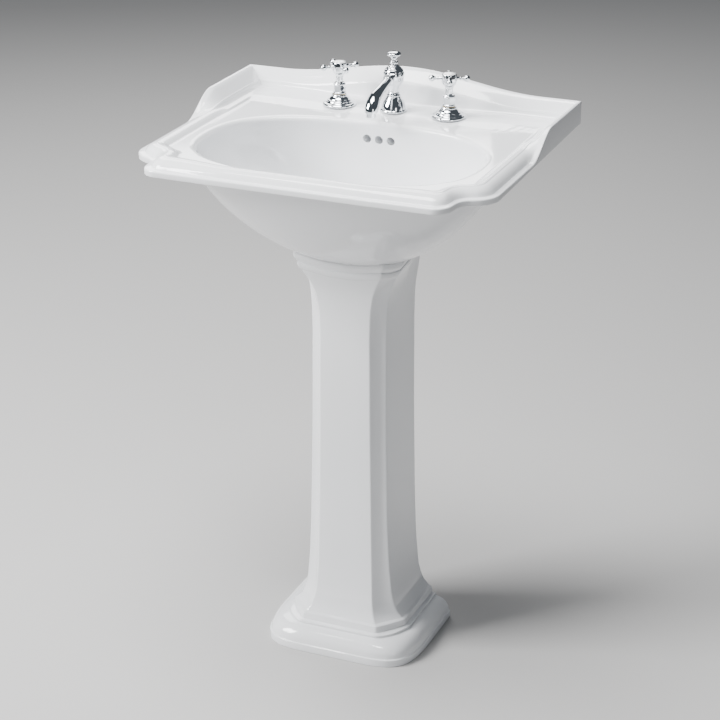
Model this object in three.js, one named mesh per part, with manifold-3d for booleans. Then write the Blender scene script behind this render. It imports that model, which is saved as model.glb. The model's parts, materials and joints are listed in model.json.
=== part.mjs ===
// A vitreous china basin on a pedestal, with a three-hole tap set, a pop-up waste and a bottle trap.
// Millimetres, +Z up. X = 0 is the plane of symmetry, Z = 0 is the floor, the wall is at +Y and the
// user stands at -Y. Heights on the basin are counted from its deck, at DECK_HEIGHT.
import * as THREE from "three";
import { mergeVertices } from "three/addons/utils/BufferGeometryUtils.js";
import Module from "manifold-3d";

const wasm = await Module();
wasm.setup();

// ---- Driving dimensions -------------------------------------------------------------------------
const BASIN_WIDTH = 600;
const BASIN_DEPTH = 502;
const DECK_HEIGHT = 897;
const TAP_SPACING = 195; // between the two valves
const TAP_SETBACK = 77; // from the wall to the row of tap holes
const WASTE_DISTANCE = 246; // from the wall to the axis of the waste
const GAP = 0.3; // between pieces that touch
const LOOSE = 0.8; // radial play of nuts and washers on their threads
const SEAT_GAP = 1; // between the belly and the pedestal

const HALF = BASIN_WIDTH / 2;
const WALL = BASIN_DEPTH / 2; // Y of the basin's back
const FRONT = -WALL; // Y of the basin's front edge
const fromWall = (distance) => WALL - distance;

// Basin rim and upstand.
const RIM_WIDTH = 46; // outer edge to the flat deck
const RIM_BOTTOM = -19;
const LIP_TOP = -8.5;
const UPSTAND = 29; // height above the deck at the rear corners
const UPSTAND_CREST = 26.5; // extra height of the serpentine back at its middle
const CREST_HALF_WIDTH = 235;
const SWOOP_START = fromWall(120); // the side upstands begin to fall here
const SWOOP_LENGTH = 88;
const CORNER_START = fromWall(399); // the notched corners begin here

// Bowl: a superellipse in plan.
const BOWL = { a: 232, b: 154, y: fromWall(302), yBottom: fromWall(WASTE_DISTANCE), depth: 163, power: 2.5 };
const BELLY = { a: 250, b: 178, y: fromWall(290), yBottom: fromWall(243), depth: 190, power: 2.3 };
const DECK_RECESS = -3; // level of the deck around the bowl
const WASTE_HOLE_R = 23;
const BOSS_R = 40;
const BOSS_BOTTOM = -209;
const TAP_HOLE_R = 15;
const OVERFLOW = { r: 7.2, spacing: 21, z: -33 };

// Pedestal: sections from the floor up.
const PEDESTAL_REAR = fromWall(142);
const PEDESTAL_WALL = 11;

// ---- Materials ----------------------------------------------------------------------------------
const CHINA = new THREE.MeshStandardMaterial({ color: 0xf1f3f4, roughness: 0.08, metalness: 0 });
const CHROME = new THREE.MeshStandardMaterial({ color: 0xd9dde0, roughness: 0.06, metalness: 1 });
const BRASS = new THREE.MeshStandardMaterial({ color: 0xb89a55, roughness: 0.35, metalness: 1 });
const COPPER = new THREE.MeshStandardMaterial({ color: 0xb87350, roughness: 0.35, metalness: 1 });
const RUBBER = new THREE.MeshStandardMaterial({ color: 0x1d1d1f, roughness: 0.8, metalness: 0 });
const STEEL = new THREE.MeshStandardMaterial({ color: 0xa9adb0, roughness: 0.35, metalness: 1 });
const NYLON = new THREE.MeshStandardMaterial({ color: 0xe9e9e4, roughness: 0.5, metalness: 0 });
const PORCELAIN = new THREE.MeshStandardMaterial({ color: 0xf7f7f5, roughness: 0.1, metalness: 0 });

// ---- Solids -------------------------------------------------------------------------------------
// A closed geometry as a solid, with its shared vertices merged and its faces pointing out.
function solidOf(geometry) {
  const bare = geometry.clone();
  bare.deleteAttribute("normal");
  bare.deleteAttribute("uv");
  const merged = mergeVertices(bare, 1e-4);
  const index = merged.index.array;
  const triangles = [];
  for (let i = 0; i < index.length; i += 3) {
    const [a, b, c] = [index[i], index[i + 1], index[i + 2]];
    if (a !== b && b !== c && c !== a) triangles.push(a, b, c);
  }
  const build = (list) =>
    new wasm.Manifold(
      new wasm.Mesh({
        numProp: 3,
        vertProperties: new Float32Array(merged.attributes.position.array),
        triVerts: new Uint32Array(list),
      }),
    );
  const solid = build(triangles);
  return solid.volume() > 0 ? solid : build(triangles.reverse());
}

function geometryOf(solid) {
  const mesh = solid.getMesh();
  const positions = new Float32Array(mesh.numVert * 3);
  for (let i = 0; i < mesh.numVert; i++) {
    positions.set(mesh.vertProperties.subarray(i * mesh.numProp, i * mesh.numProp + 3), i * 3);
  }
  const geometry = new THREE.BufferGeometry();
  geometry.setAttribute("position", new THREE.BufferAttribute(positions, 3));
  geometry.setIndex(new THREE.BufferAttribute(mesh.triVerts, 1));
  geometry.computeVertexNormals();
  return geometry;
}

// A turned piece about the Z axis. The profile is [radius, z] points; it starts and ends on the
// axis, or it is a ring that closes on itself.
function turned(profile, sides = 16) {
  const onAxis = profile[0][0] === 0;
  const points = profile.map(([r, z]) => new THREE.Vector2(r, z));
  if (!onAxis) points.push(points[0].clone());
  return solidOf(new THREE.LatheGeometry(points, sides).rotateX(Math.PI / 2));
}

// A plain rod or tube along Z from bottom to top.
function rod(radius, bottom, top, sides = 12, bore = 0) {
  const outer = [[radius, bottom], [radius, top]];
  return bore
    ? turned([...outer, [bore, top], [bore, bottom]], sides)
    : turned([[0, bottom], ...outer, [0, top]], sides);
}

// A hexagon, across flats, with an optional bore.
function hexagon(flats, bottom, top, bore = 0) {
  const nut = rod(flats / Math.sqrt(3), bottom, top, 6);
  return bore ? nut.subtract(rod(bore, bottom - 1, top + 1, 12)) : nut;
}

// A round bar along a smooth curve through the points.
function bar(points, radius, sides = 8, steps = 16) {
  const curve = new THREE.CatmullRomCurve3(
    points.map((p) => new THREE.Vector3(...p)),
    false,
    "centripetal",
  );
  const circle = new THREE.Shape();
  for (let i = 0; i < sides; i++) {
    const angle = (2 * Math.PI * i) / sides;
    const point = [radius * Math.cos(angle), radius * Math.sin(angle)];
    if (i === 0) circle.moveTo(...point);
    else circle.lineTo(...point);
  }
  return solidOf(
    new THREE.ExtrudeGeometry(circle, { steps, extrudePath: curve, bevelEnabled: false }),
  );
}

// Rings of equal length joined into one skin. With "torus" the last ring joins the first, with
// "strip" each end is closed between the two halves of its section, and with "fan" each end is
// closed round its middle.
function loft(rings, ends) {
  const torus = ends === "torus";
  const n = rings[0].length;
  const positions = rings.flat().flat();
  const index = [];
  const spans = torus ? rings.length : rings.length - 1;
  for (let r = 0; r < spans; r++) {
    const next = (r + 1) % rings.length;
    for (let i = 0; i < n; i++) {
      const j = (i + 1) % n;
      const [a, b, c, d] = [r * n + i, r * n + j, next * n + j, next * n + i];
      index.push(a, b, c, a, c, d);
    }
  }
  if (ends === "fan") {
    for (const [ring, flip] of [[0, true], [rings.length - 1, false]]) {
      const middle = [0, 1, 2].map((k) => rings[ring].reduce((sum, p) => sum + p[k], 0) / n);
      const hub = positions.length / 3;
      positions.push(...middle);
      for (let i = 0; i < n; i++) {
        const [a, b] = [ring * n + i, ring * n + ((i + 1) % n)];
        index.push(...(flip ? [b, a, hub] : [a, b, hub]));
      }
    }
  }
  if (ends === "strip") {
    for (const [ring, flip] of [[0, true], [rings.length - 1, false]]) {
      for (let i = 0; i < n / 2 - 1; i++) {
        const [a, b, c, d] = [i, i + 1, n - 2 - i, n - 1 - i].map((k) => ring * n + k);
        index.push(...(flip ? [c, b, a, d, c, a] : [a, b, c, a, c, d]));
      }
    }
  }
  const geometry = new THREE.BufferGeometry();
  geometry.setAttribute("position", new THREE.Float32BufferAttribute(positions, 3));
  geometry.setIndex(index);
  return solidOf(geometry);
}

const object = new THREE.Group();
function group(x, y, z) {
  const made = new THREE.Group();
  made.position.set(x, y, z);
  object.add(made);
  return made;
}
function piece(parent, name, solid, material) {
  const mesh = new THREE.Mesh(geometryOf(solid), material);
  mesh.name = name;
  parent.add(mesh);
  return mesh;
}

// ---- Curves in plan -----------------------------------------------------------------------------
const mix = (a, b, t) => a + (b - a) * t;
const clamp01 = (t) => Math.min(1, Math.max(0, t));
const smooth = (t) => clamp01(t) ** 2 * (3 - 2 * clamp01(t));

// Points of a corner: arcs given as turns of the walking direction, counted from -Y towards -X.
function walk(start, moves) {
  const points = [[...start]];
  let [x, y] = start;
  for (const { turn, radius, run, steps = 1 } of moves) {
    if (run) {
      x -= run * Math.sin(turn);
      y -= run * Math.cos(turn);
      points.push([x, y]);
      continue;
    }
    const [from, to] = turn;
    for (let i = 1; i <= steps; i++) {
      const a = mix(from, to, (i - 1) / steps);
      const b = mix(from, to, i / steps);
      const sign = to > from ? 1 : -1;
      x -= sign * radius * (Math.cos(a) - Math.cos(b));
      y -= sign * radius * (Math.sin(b) - Math.sin(a));
      points.push([x, y]);
    }
  }
  return points;
}

const TURN_OUT = THREE.MathUtils.degToRad(62);
const TURN_BACK = THREE.MathUtils.degToRad(8);
const RIGHT_ANGLE = Math.PI / 2;

// Half of the outline, from the middle of the back to the middle of the front, at an inset of 0
// (outer edge) or 1 (where the rim meets the deck). Both have the same number of points.
function halfOutline(inner) {
  const side = inner ? HALF - RIM_WIDTH : HALF;
  const backCount = 7;
  const points = [];
  for (let i = 0; i < backCount; i++) {
    const x = (side * i) / backCount;
    const swell = crest(x) * 0.55;
    points.push([x, inner ? fromWall(33 + swell) : WALL]);
  }
  const back = inner ? fromWall(33) : WALL;
  const cornerY = inner ? CORNER_START + 14 : CORNER_START;
  const sideStops = [0, 0.16, 0.33, 0.41, 0.48, 0.55, 0.63, 0.82];
  for (const t of sideStops) points.push([side, mix(back, cornerY, t)]);
  const corner = inner
    ? walk([side, cornerY], [
        { turn: [0, TURN_OUT], radius: 14, steps: 3 },
        { turn: TURN_OUT, run: 14 },
        { turn: [TURN_OUT, TURN_BACK], radius: 34, steps: 3 },
        { turn: TURN_BACK, run: 1 },
        { turn: [TURN_BACK, RIGHT_ANGLE], radius: 12, steps: 3 },
      ])
    : walk([side, cornerY], [
        { turn: [0, TURN_OUT], radius: 42, steps: 3 },
        { turn: TURN_OUT, run: 8 },
        { turn: [TURN_OUT, TURN_BACK], radius: 32, steps: 3 },
        { turn: TURN_BACK, run: 14 },
        { turn: [TURN_BACK, RIGHT_ANGLE], radius: 27, steps: 3 },
      ]);
  points.push(...corner);
  const [endX, endY] = corner.at(-1);
  const front = inner ? FRONT + RIM_WIDTH : FRONT;
  const frontCount = 5;
  for (let i = 1; i <= frontCount; i++) {
    const t = i / frontCount;
    points.push([endX * (1 - t), mix(endY, front, smooth(t * 2))]);
  }
  return points;
}

// Height of the serpentine back above its corners.
function crest(x) {
  const t = Math.min(1, Math.abs(x) / CREST_HALF_WIDTH);
  return (UPSTAND_CREST * (1 + Math.cos(Math.PI * t))) / 2;
}

// Both halves as one loop of matched [outer, inner] pairs, walked clockwise from above.
function rimLoop() {
  const outer = halfOutline(false);
  const inner = halfOutline(true);
  const right = outer.map((point, i) => [point, inner[i]]);
  const left = right
    .slice(1, -1)
    .reverse()
    .map(([[ox, oy], [ix, iy]]) => [[-ox, oy], [-ix, iy]]);
  return [...right, ...left];
}

// A point of a superellipse in the direction of another point.
function onSuperellipse(shape, scale, y, [px, py]) {
  const dx = px / shape.a;
  const dy = (py - shape.y) / shape.b;
  const length = (Math.abs(dx) ** shape.power + Math.abs(dy) ** shape.power) ** (1 / shape.power);
  return [(shape.a * scale * dx) / length, y + (shape.b * scale * dy) / length];
}

// Share of full width left at a share of the depth, for the bowl and for the belly under it.
const bowlTaper = (t) => (1 - t ** 1.7) ** (1 / 2.2);
const bellyTaper = (t) => (1 - t ** 1.5) ** (1 / 1.9);

// Height of the belly's underside over a point in plan, from the deck.
function bellyUnder(x, y) {
  let low = 0;
  let high = 1;
  for (let i = 0; i < 30; i++) {
    const t = (low + high) / 2;
    const scale = bellyTaper(t);
    const middle = mix(BELLY.y, BELLY.yBottom, t);
    const reach =
      Math.abs(x / (BELLY.a * scale)) ** BELLY.power +
      Math.abs((y - middle) / (BELLY.b * scale)) ** BELLY.power;
    if (reach < 1) low = t;
    else high = t;
  }
  return RIM_BOTTOM - BELLY.depth * low;
}

const BELLY_STOPS = [0.97, 0.9, 0.8, 0.67, 0.5, 0.32, 0.14, 0];

// The belly's rings from its lowest to the rim, on the directions of the outline's points.
function bellyRings(loop, lowered = 0) {
  return BELLY_STOPS.map((t) =>
    loop.map(([outer]) => {
      const middle = mix(BELLY.y, BELLY.yBottom, t);
      const [x, y] = onSuperellipse(BELLY, bellyTaper(t), middle, outer);
      return [x, y, DECK_HEIGHT + RIM_BOTTOM - BELLY.depth * t - lowered];
    }),
  );
}
const bellySolid = (loop, lowered) => loft(bellyRings(loop, lowered), "fan");

// ---- Basin --------------------------------------------------------------------------------------
// Rim section as [inset, height on the moulded rim, drop below the top on the upstand].
const RIM_SECTION = [
  [0, LIP_TOP - 2.5, 4],
  [0.6, LIP_TOP - 0.8, 1],
  [3, LIP_TOP, 0],
  [9, LIP_TOP, 0.8],
  [11, -5.5, 3],
  [14.5, -0.8, 8],
  [20, 2.6, 14],
  [26, 4, 20],
  [28.5, 4.4, 24],
  [33, 4.2, 27.5],
  [37, 2.6, 29],
];

function basinSolid() {
  const loop = rimLoop();
  const rings = [];
  const ring = (makePoint) => rings.push(loop.map(makePoint));
  const inset = ([[ox, oy], [ix, iy]], distance) => {
    const t = distance / RIM_WIDTH;
    return [mix(ox, ix, t), mix(oy, iy, t)];
  };
  // Share of upstand at a point: 0 on the moulded rim, 1 along the back and the rear of the sides.
  const upstandShare = (y, distance) =>
    smooth((y - (SWOOP_START - SWOOP_LENGTH - (1 - distance / RIM_WIDTH) * 38)) / SWOOP_LENGTH);
  const topOf = (x) => UPSTAND + crest(x);
  const rimBottom = (y) => mix(RIM_BOTTOM, RIM_BOTTOM + 9, clamp01((y - CORNER_START) / 400));
  const world = ([x, y], z) => [x, y, DECK_HEIGHT + z];

  // Underside: belly, then out to the lip.
  const bossRing = (radius, z) =>
    ring(([outer]) => {
      const [x, y] = onSuperellipse({ ...BELLY, power: 2 }, 1, 0, outer);
      const angle = Math.atan2(y / BELLY.b, x / BELLY.a);
      return world(
        [radius * Math.cos(angle), fromWall(WASTE_DISTANCE) + radius * Math.sin(angle)],
        z,
      );
    });
  bossRing(WASTE_HOLE_R, BOSS_BOTTOM);
  bossRing(BOSS_R, BOSS_BOTTOM);
  rings.push(...bellyRings(loop));
  ring((pair) => world(inset(pair, 8), rimBottom(pair[0][1])));
  ring((pair) => world(inset(pair, 2), rimBottom(pair[0][1])));
  ring((pair) => world(inset(pair, 0), rimBottom(pair[0][1]) + 2.5));
  // Lip, rim moulding and upstand.
  for (const [distance, rimZ, drop] of RIM_SECTION) {
    ring((pair) => {
      const [x, y] = inset(pair, distance);
      const share = upstandShare(pair[0][1], distance);
      const top = topOf(pair[0][0]);
      const steep = top / UPSTAND;
      const upstandZ = drop > 24 ? Math.max(1, top - drop * steep) : top - drop;
      return world([x, y], mix(rimZ, upstandZ, share));
    });
  }
  // Tap ledge and deck.
  const ledgeZ = (y) => mix(DECK_RECESS, 0, smooth((y - fromWall(100)) / 12));
  ring((pair) => world(inset(pair, 42), mix(-1.6, 0.6, upstandShare(pair[0][1], 42))));
  ring((pair) => world(inset(pair, RIM_WIDTH), ledgeZ(pair[1][1])));
  const deckStep = (share) =>
    ring((pair) => {
      const edge = onSuperellipse(BOWL, 1.045, BOWL.y, pair[0]);
      const x = mix(pair[1][0], edge[0], share);
      const y = mix(pair[1][1], edge[1], share);
      return world([x, y], ledgeZ(y));
    });
  deckStep(0.45);
  deckStep(0.75);
  deckStep(1);
  // Bowl: a rounded edge, then down to the waste.
  ring(([outer]) => world(onSuperellipse(BOWL, 1.012, BOWL.y, outer), DECK_RECESS - 1.2));
  const bowlStops = [0.04, 0.17, 0.36, 0.57, 0.77, 0.92];
  for (const t of bowlStops) {
    const middle = mix(BOWL.y, BOWL.yBottom, t);
    ring(([outer]) =>
      world(onSuperellipse(BOWL, bowlTaper(t), middle, outer), DECK_RECESS - BOWL.depth * t),
    );
  }
  const bowlBottom = DECK_RECESS - BOWL.depth;
  bossRing(WASTE_FLANGE.r + 2, bowlBottom + 1);
  bossRing(WASTE_FLANGE.r + 1, bowlBottom - 2);
  bossRing(WASTE_HOLE_R, bowlBottom - 2);
  let solid = loft(rings, "torus");

  // Wall block under the tap ledge, with the two fixing holes.
  const block = solidOf(
    new THREE.BoxGeometry(330, 30, 96).translate(0, WALL - 15, DECK_HEIGHT - 8 - 48),
  );
  solid = solid.add(block);
  const alongY = (radius, x, y0, y1, z) =>
    rod(radius, y0, y1, 16).rotate([-90, 0, 0]).translate([x, 0, DECK_HEIGHT + z]);
  for (const side of [-1, 1]) {
    solid = solid.subtract(alongY(WALL_BOLT.hole, side * WALL_BOLT.x, WALL - 40, WALL + 10, WALL_BOLT.z));
  }
  for (const x of [-TAP_SPACING / 2, 0, TAP_SPACING / 2]) {
    const hole = rod(TAP_HOLE_R, DECK_HEIGHT - 40, DECK_HEIGHT + 20, 20);
    solid = solid.subtract(hole.translate([x, fromWall(TAP_SETBACK), 0]));
  }
  // Overflow: three holes into a channel inside the rear wall, which drains into the waste hole.
  for (const x of [-OVERFLOW.spacing, 0, OVERFLOW.spacing]) {
    solid = solid.subtract(alongY(OVERFLOW.r, x, fromWall(172), fromWall(133), OVERFLOW.z));
  }
  const channel = new THREE.Shape(
    [
      [135, -22],
      [122, -22],
      [122, -60],
      [127, -100],
      [148, -150],
      [186, -190],
      [232, -193],
      [232, -178],
      [196, -174],
      [163, -142],
      [141, -98],
      [135, -60],
    ].map(([distance, z]) => new THREE.Vector2(fromWall(distance), z)),
  );
  const duct = new THREE.ExtrudeGeometry(channel, { depth: 58, steps: 1, bevelEnabled: false })
    .translate(0, 0, -29)
    .applyMatrix4(
      new THREE.Matrix4().makeBasis(
        new THREE.Vector3(0, 1, 0),
        new THREE.Vector3(0, 0, 1),
        new THREE.Vector3(1, 0, 0),
      ),
    )
    .translate(0, 0, DECK_HEIGHT);
  return solid.subtract(solidOf(duct));
}

// ---- Pedestal -----------------------------------------------------------------------------------
// Outer sections: height, half width, half width of the front facet, distance of the front facet
// and of the chamfer's rear edge from the wall, and how far the chamfer is hollowed (or swollen).
const PEDESTAL_SECTIONS = [
  [0, 140, 83, 352, 264, -23],
  [13, 140, 83, 352, 264, -23],
  [14, 138, 82, 349.8, 264, -22.6],
  [23, 136, 81.2, 347.6, 264, -21.5],
  [31, 130, 78.8, 341.5, 265.4, -18],
  [37.4, 117, 74, 329, 267, -11.6],
  [38.4, 112.4, 72, 324.6, 267, -9],
  [42, 112, 72, 324, 267, -7],
  [44, 105, 68.5, 316, 270, -2],
  [55, 103.5, 67.5, 314, 270, -1],
  [57, 99, 64, 309, 270, 0.5],
  [66, 90, 57.5, 302, 269, 1.5],
  [85, 82, 53, 295, 269, 2.5],
  [125, 76.5, 50.5, 290, 269.5, 3],
  [200, 72, 48.5, 288, 270, 3.2],
  [420, 67.2, 45.4, 287, 269, 3.2],
  [590, 66.5, 44.8, 287, 268, 3.2],
  [632, 68.5, 48, 289, 268, 3],
  [658, 73.5, 55, 293.5, 267, 2.5],
  [674, 80, 64, 300, 266, 1.5],
  [682, 85, 71, 306, 266, 0.8],
];
// Sections of the band at the top, by height from the belly; the last ends inside it and is cut.
const PEDESTAL_CAP = [
  [-13, 88.5, 74, 310, 266, 0],
  [-11.5, 92, 77, 313.5, 266, 0],
  [-3, 93, 78, 314.5, 266, 0],
  [6, 92, 77, 313.5, 266, 0],
];

// One C-shaped section, open at the back: outer points from rear left round to rear right, then
// the inner points back again. Heights may follow a function of the point.
function pedestalRing([, halfWidth, halfFront, front, chamfer, flute], heightAt) {
  const path = (inset) => {
    const side = halfWidth - inset;
    const facet = halfFront - inset * 0.45;
    const frontY = fromWall(front - inset);
    const chamferY = fromWall(chamfer - inset * 0.45);
    const hollow = inset ? 0 : flute;
    const across = [0.12, 0.35, 0.65, 0.88].map((t) => {
      const sink = hollow * Math.sin(Math.PI * t);
      return [
        mix(side, facet, t) - sink * 0.6,
        mix(chamferY, frontY, t) + sink * 0.8,
      ];
    });
    const right = [
      [side, PEDESTAL_REAR],
      [side, mix(PEDESTAL_REAR, chamferY, 0.5)],
      [side, chamferY],
      ...across,
      [facet, frontY],
      [facet * 0.35, frontY],
    ];
    const left = right.map(([x, y]) => [-x, y]);
    return [...left, ...right.reverse()];
  };
  const outer = path(0);
  const inner = path(PEDESTAL_WALL).reverse();
  return [...outer, ...inner].map(([x, y]) => [x, y, heightAt(x, y)]);
}

function pedestalSolid() {
  const shaft = PEDESTAL_SECTIONS.map((section) => pedestalRing(section, () => section[0]));
  const cap = PEDESTAL_CAP.map((section) =>
    pedestalRing(section, (x, y) => DECK_HEIGHT + bellyUnder(x, y) + section[0]),
  );
  let solid = loft([...shaft, ...cap], "strip").subtract(bellySolid(rimLoop(), SEAT_GAP));
  // Two lugs inside the foot take the floor screws.
  for (const side of [-1, 1]) {
    const lug = new THREE.BoxGeometry(48, 40, 12).translate(side * (FLOOR_SCREW.x + 6), FLOOR_SCREW.y, 6);
    solid = solid.add(solidOf(lug));
    solid = solid.subtract(
      rod(FLOOR_SCREW.hole, -1, 14, 16).translate([side * FLOOR_SCREW.x, FLOOR_SCREW.y, 0]),
    );
  }
  return solid;
}

// ---- Fixings ------------------------------------------------------------------------------------
const WALL_BOLT = { x: 140, z: -66, r: 5, hole: 7, block: 30 };
const FLOOR_SCREW = { x: 100, y: PEDESTAL_REAR - 60, r: 3, hole: 4.5 };
const WASTE_FLANGE = { r: 34, bore: 22, body: 21.5 };

function addFixings() {
  for (const [name, side] of [["left", -1], ["right", 1]]) {
    // A stud through the wall block, flush with the wall, with its washer and nut in front.
    const stud = group(side * WALL_BOLT.x, WALL - WALL_BOLT.block, DECK_HEIGHT + WALL_BOLT.z);
    stud.rotation.x = RIGHT_ANGLE; // local +Z runs away from the wall
    const washerTop = GAP + 2.4;
    const nutTop = washerTop + GAP + 8;
    piece(stud, `wall_stud_${name}`, rod(WALL_BOLT.r, -WALL_BOLT.block, nutTop + 6, 12), STEEL);
    piece(stud, `wall_washer_${name}`, rod(14, GAP, washerTop, 12, WALL_BOLT.r + LOOSE), NYLON);
    piece(stud, `wall_nut_${name}`, hexagon(17, washerTop + GAP, nutTop, WALL_BOLT.r + LOOSE), STEEL);
    // A countersunk floor screw with its plastic washer on the foot's lug.
    const screw = group(side * FLOOR_SCREW.x, FLOOR_SCREW.y, 12);
    piece(screw, `floor_washer_${name}`, rod(9, GAP, 2.2, 12, FLOOR_SCREW.r + LOOSE), NYLON);
    piece(
      screw,
      `floor_screw_${name}`,
      turned(
        [
          [0, -11.5], [FLOOR_SCREW.r, -11.5], [FLOOR_SCREW.r, 2.5],
          [6.5, 2.5], [6.5, 4.5], [4, 6.5], [0, 7],
        ],
        12,
      ),
      STEEL,
    );
  }
}

// ---- Taps ---------------------------------------------------------------------------------------
const UNDER_DECK = -19.5; // clamping face under the tap ledge, from the deck
const HANDLE_Z = 65; // height of the handle's arms above the deck
const LINK_Z = -52; // tubes that join the valves to the spout

function handleSolid(turn) {
  const hub = turned([
    [0, 48.5], [6.6, 48.5], [8, 51], [12, 56], [12.4, 59], [12.4, 69], [11.6, 72], [10.9, 72.6],
    [10.9, 70.2], [0, 70.2],
  ]);
  const arm = turned(
    [[0, 8], [3.6, 8], [2.4, 15], [2.4, 20], [2.8, 23.4], [4.6, 25.4], [5.3, 28.8], [4, 32.4], [0, 34]],
    8,
  ).rotate([0, 90, 0]);
  let solid = hub;
  for (let i = 0; i < 4; i++) {
    solid = solid.add(arm.rotate([0, 0, i * 90 + turn]).translate([0, 0, HANDLE_Z]));
  }
  // Square broach for the spindle and a clear hole for the screw.
  return solid.subtract(rod(3.4, 40, 64, 8)).subtract(rod(2.3, 60, 75, 10));
}

function addValve(name, x, handleTurn) {
  const tap = group(x, fromWall(TAP_SETBACK), DECK_HEIGHT);
  piece(
    tap,
    `${name}_flange`,
    turned([
      [11, GAP], [28.2, GAP], [28.6, 2], [27.4, 4], [21, 7], [20, 9], [19, 9.4], [16.4, 12.2],
      [13.4, 14.6], [12.6, 17.6], [11, 18.2],
    ], 16),
    CHROME,
  );
  // The valve body hangs through the tap hole; its inlet is below and its outlet faces the spout.
  let body = turned(
    [
      [0, -74], [9, -74], [9, -60], [12.5, -59], [12.5, -45],
      [10.4, -44], [10.4, 17], [6.2, 17], [6.2, -30], [0, -30],
    ],
    16,
  );
  const inward = Math.sign(-x);
  const outlet = turned([[0, 9], [8, 9], [8, 22], [0, 22]], 12).rotate([0, 90 * inward, 0]);
  body = body.add(outlet.translate([0, 0, LINK_Z]));
  piece(tap, `${name}_valve_body`, body, BRASS);
  const bonnet = hexagon(18.6, 22, 34)
    .add(turned([[0, 18.6], [10, 18.6], [10.4, 20.2], [9.4, 22.2], [0, 22.2]]))
    .add(turned([[0, 33.8], [10, 33.8], [10.2, 36], [8.8, 38], [0, 38]]))
    .add(rod(5.8, -24, 19, 12));
  piece(tap, `${name}_headwork`, bonnet.subtract(rod(3.9, -30, 50, 12)), CHROME);
  piece(
    tap,
    `${name}_spindle`,
    turned([[0, -26], [3.6, -26], [3.6, 38.4], [6.2, 38.6], [6.2, 48.2], [3, 48.2], [3, 63.4], [0, 63.4]], 12)
      .subtract(rod(1.5, 52, 64, 8)),
    CHROME,
  );
  piece(tap, `${name}_handle`, handleSolid(handleTurn), CHROME);
  piece(tap, `${name}_handle_screw`, turned([[0, 56], [1.2, 56], [1.2, 69.9], [0, 69.9]], 8)
    .subtract(rod(0.5, 69.3, 71, 6)), STEEL);
  piece(
    tap,
    `${name}_index`,
    turned([[0, 70.5], [10.5, 70.5], [10.5, 72.4], [9, 73.7], [5, 74.7], [0, 75]], 20),
    PORCELAIN,
  );
  piece(tap, `${name}_washer`, rod(21, UNDER_DECK - 3, UNDER_DECK - GAP, 12, 11.2), RUBBER);
  piece(tap, `${name}_backnut`, hexagon(34, UNDER_DECK - 11, UNDER_DECK - 3 - GAP, 11.2), BRASS);
  // Supply tail, curving in behind the bowl to run down inside the pedestal.
  piece(tap, `${name}_union_nut`, hexagon(24, -84, -64, 9.8), BRASS);
  const inside = inward * (Math.abs(x) - 38);
  piece(
    tap,
    `${name}_tail`,
    bar(
      [[0, 0, -75], [0, 0, -100], [0.15 * inside, 0, -140], [0.7 * inside, -14, -215], [inside, -60, -285],
        [inside, -92, -335], [inside, -92, -470]],
      6,
    ),
    COPPER,
  );
  return tap;
}

// ---- Spout and pop-up lift ----------------------------------------------------------------------
function addSpout() {
  const spout = group(0, fromWall(TAP_SETBACK), DECK_HEIGHT);
  let body = turned([
    [0, -62], [10.4, -62], [10.4, GAP], [22.4, GAP], [22.8, 2.4],
    [21.2, 5], [20.4, 5.6], [18.6, 12], [14.6, 20],
    [11.4, 25], [11.8, 27], [9.4, 30.5], [8.6, 33.5], [10.2, 39], [14.6, 47], [17.2, 55], [17.6, 61],
    [16, 68], [12.6, 72.6], [8.6, 75], [6.4, 76.4], [5.6, 79], [6.6, 80.4], [6.6, 83.4], [5.2, 85], [0, 85],
  ], 16);
  const linkPort = turned([[0, 9], [7.6, 9], [7.6, 22], [0, 22]], 12);
  for (const turn of [90, -90]) {
    body = body.add(linkPort.rotate([0, turn, 0]).translate([0, 0, LINK_Z]));
  }
  body = body.subtract(rod(3.2, -70, 90, 12));
  piece(spout, "spout_body", body, CHROME);
  piece(spout, "spout_arm", spoutArm(), CHROME);
  piece(
    spout,
    "spout_nozzle",
    rod(8, 14.6, 22.2, 14, 4.2).translate([0, SPOUT_PATH.at(-1)[0], 0]),
    CHROME,
  );
  piece(spout, "spout_washer", rod(21, UNDER_DECK - 3, UNDER_DECK - GAP, 12, 11.2), RUBBER);
  piece(spout, "spout_backnut", hexagon(34, UNDER_DECK - 11, UNDER_DECK - 3 - GAP, 11.2), BRASS);
  for (const [name, side] of [["hot", -1], ["cold", 1]]) {
    const from = side * (22 + GAP);
    const to = side * (TAP_SPACING / 2 - 22 - GAP);
    piece(spout, `${name}_link_tube`, bar([[from, 0, LINK_Z], [to, 0, LINK_Z]], 6, 10, 1), COPPER);
  }
}

// Sections of the arm along its path in the plane of symmetry: [distance from the spout's axis
// towards the user, height, half width, half thickness].
const SPOUT_PATH = [
  [-19.5, 57.8, 7.6, 7.6],
  [-24, 57, 9.6, 9.6],
  [-27, 56.4, 9.6, 9.6],
  [-28, 56.2, 7.4, 7.4],
  [-40, 53.8, 7.6, 7.4],
  [-58, 50, 8.4, 7.8],
  [-74, 46, 9.6, 8.4],
  [-88, 39.6, 10.8, 9.2],
  [-96, 31.6, 11.2, 10],
  [-98, 22.6, 11, 10.4],
];

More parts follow.
